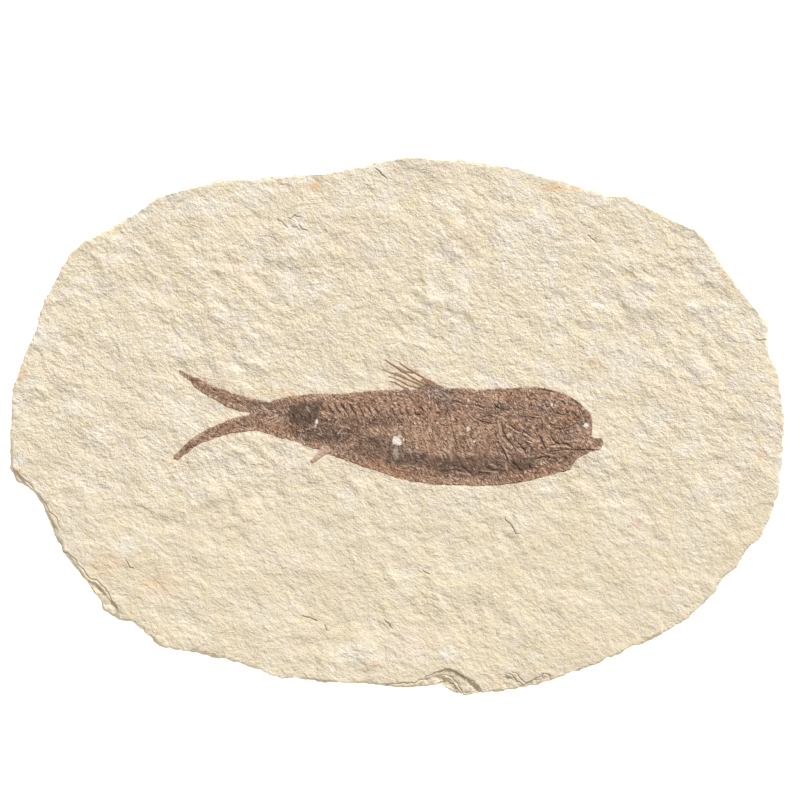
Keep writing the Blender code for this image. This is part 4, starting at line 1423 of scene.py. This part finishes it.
stripes = rib_stripes(fish_spots)
# painted shade: the grooves, the folds and the troughs between ribs are darkened as their shadow would be
creases = [
    strength * strokes(fish_spots, lines, half_width, wobble, uneven)
    for lines, wobble, _, (half_width, uneven, strength) in GROOVES
]
creases.append(0.6 * folds(fish_spots))
creases.append(0.6 * soft_step(-stripes, 0.1, 0.6))
store(fish.data, "crease", np.maximum.reduce(creases))
# painted highlight on the ribs' crests; the raised bones are pale partly in tone and partly by painted
# highlight, and the anal fin in its own tone
rib_crest_highlight = 0.5 * soft_step(stripes, 0.15, 0.6)
raised_bones = strokes(fish_spots, FINE_RIDGES.values(), 0.15, 0.12, 0.2)
pale_fin = 0.7 * soft_step(depth_inside(fish_spots, strip_outline(ANAL_FIN)), -0.3, 0.1)
store(fish.data, "ridge", np.maximum.reduce([rib_crest_highlight, raised_bones, pale_fin]))
store(fish.data, "thin", 1 - soft_step(fish_depth(fish_spots), 0.0, THIN_EDGE))
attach(fish, "root")
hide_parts("fossil_fish")
print("fish triangles:", triangle_count(fish.data))

# %% [markdown]
# ## Finish of the fossil
#
# The ground is a mid brown, mottled at two sizes, and the stored areas are laid over it in the
# order in which they lie on the real thing: tan flank and rust, then flesh stains, then grey film.
# Over them goes the fish's fine texture, matted fibres of bone. Those are two noises, each drawn
# out along its own direction, and a broad third noise says which of the two shows where. Their
# high places are laid in a pale tone as painted glints and their low places in a dark one as
# painted shade. Last come the veins, the painted shade of the dark lines between bones, the pale
# ridges with partly painted highlight, the fin's thin skin and the white specks.

# %% Fossil
PALE_BROWN = (0.510, 0.301, 0.200)
DARK_BROWN = (0.235, 0.122, 0.074)
CHAR_COLOUR = (0.055, 0.040, 0.032)
PLUM_COLOUR = (0.110, 0.062, 0.055)
RUST_COLOUR = (0.410, 0.200, 0.106)
SLATE_COLOUR = (0.185, 0.155, 0.150)
TAN_COLOUR = (0.450, 0.280, 0.172)
SKIN_COLOUR = (0.370, 0.260, 0.160)
GREY_BROWN = (0.300, 0.215, 0.160)
# the dark of the veins, and the painted shade of grooves, folds and fibres
CREASE_AND_SHADE_COLOUR = (0.060, 0.032, 0.020)
# the pale tone of bone, also used for the painted glints on the fibres
RIDGE_AND_HIGHLIGHT_COLOUR = (0.640, 0.460, 0.350)
FLECK_COLOUR = (0.800, 0.760, 0.700)
FIBRE = 0.20 * MM
FIBRE_STRETCH = 4.2
STEEP = math.radians(-62)          # the two directions in which the fibres lie
SHALLOW = math.radians(-25)


def fossil():
    """The film's finish, from the ground colour up."""
    bone = Finish("brown_fossil_bone", 0.72)
    grain = bone.grain
    remap = bone.remap
    stored = bone.stored

    # matted fibres: painted glints on their high places and painted shade in their low
    # places, and how that comes and goes
    steep = grain(FIBRE, detail=1.0, shift=0.4, stretch=FIBRE_STRETCH, turn=STEEP)
    shallow = grain(FIBRE, detail=1.0, shift=1.4, stretch=FIBRE_STRETCH, turn=SHALLOW)
    lie = grain(3.0 * MM, shift=4.6)
    steep_part = bone.times(steep, remap(lie, 0.46, 0.54))
    fibres = bone.plus(steep_part, bone.times(shallow, remap(lie, 0.54, 0.46)))
    speckle = remap(fibres, 0.37, 0.63)
    less_on_char = remap(stored("char"), 0.0, 1.0, 1.0, 0.4)
    painted_glints = bone.times(remap(speckle, 0.55, 1.0, 0.0, 0.85), less_on_char)
    painted_fibre_shade = remap(speckle, 0.45, 0.0, 0.0, 0.68)
    uneven = remap(grain(2.4 * MM, shift=2.1), 0.38, 0.62, 0.6, 1.1)
    broken = remap(speckle, 0.0, 1.0, 0.65, 1.0)

    # the ground, then the areas that lie on it
    blotches = grain(1.9 * MM, detail=4.0, roughness=0.65, shift=0.6, stretch=1.6)
    mottle = remap(blotches, 0.42, 0.62, 0.0, 0.7)
    colour = bone.lay(PALE_BROWN, DARK_BROWN, mottle)
    colour = bone.lay(colour, GREY_BROWN, remap(grain(4.5 * MM, shift=3.1), 0.42, 0.6, 0.0, 0.6))
    colour = bone.lay(colour, TAN_COLOUR, stored("tan"))
    colour = bone.lay(colour, RUST_COLOUR, stored("rust"))
    colour = bone.lay(colour, PLUM_COLOUR, bone.times(stored("plum"), broken))
    colour = bone.lay(colour, CHAR_COLOUR, bone.times(stored("char"), broken))
    colour = bone.lay(colour, SLATE_COLOUR, bone.times(stored("slate"), broken))
    colour = bone.lay(colour, RIDGE_AND_HIGHLIGHT_COLOUR, bone.times(stored("thin"), 0.2))

    # the fibres' painted glints and shade, the veins, and the bones with their painted shade and
    # highlight
    steep_veins = bone.vein(0.8 * MM, math.radians(-58), shift=2.4)
    veins = bone.plus(steep_veins, bone.vein(0.9 * MM, math.radians(-22), shift=2.8))
    # painted glints, then painted shade, on the fibres
    colour = bone.lay(colour, RIDGE_AND_HIGHLIGHT_COLOUR, bone.times(painted_glints, uneven))
    colour = bone.lay(colour, CREASE_AND_SHADE_COLOUR, bone.times(painted_fibre_shade, uneven))
    colour = bone.lay(colour, CREASE_AND_SHADE_COLOUR, bone.times(veins, 0.6))
    # painted shade in the grooves, folds and rib troughs
    colour = bone.lay(colour, CREASE_AND_SHADE_COLOUR, bone.times(stored("crease"), 0.95))
    # pale bone, partly painted highlight on the ridges
    colour = bone.lay(colour, RIDGE_AND_HIGHLIGHT_COLOUR, bone.times(stored("ridge"), 0.75))
    colour = bone.lay(colour, SKIN_COLOUR, bone.times(stored("skin"), 0.7))
    colour = bone.lay(colour, FLECK_COLOUR, stored("fleck"))
    wrinkles = grain(0.36 * MM, detail=2.0, roughness=0.78, shift=0.8, stretch=1.6)
    return bone.finish(colour, wrinkles, 0.45 * MM)


fish.data.materials.append(fossil())
print("nodes in the fish's finish:", len(fish.data.materials[0].node_tree.nodes))
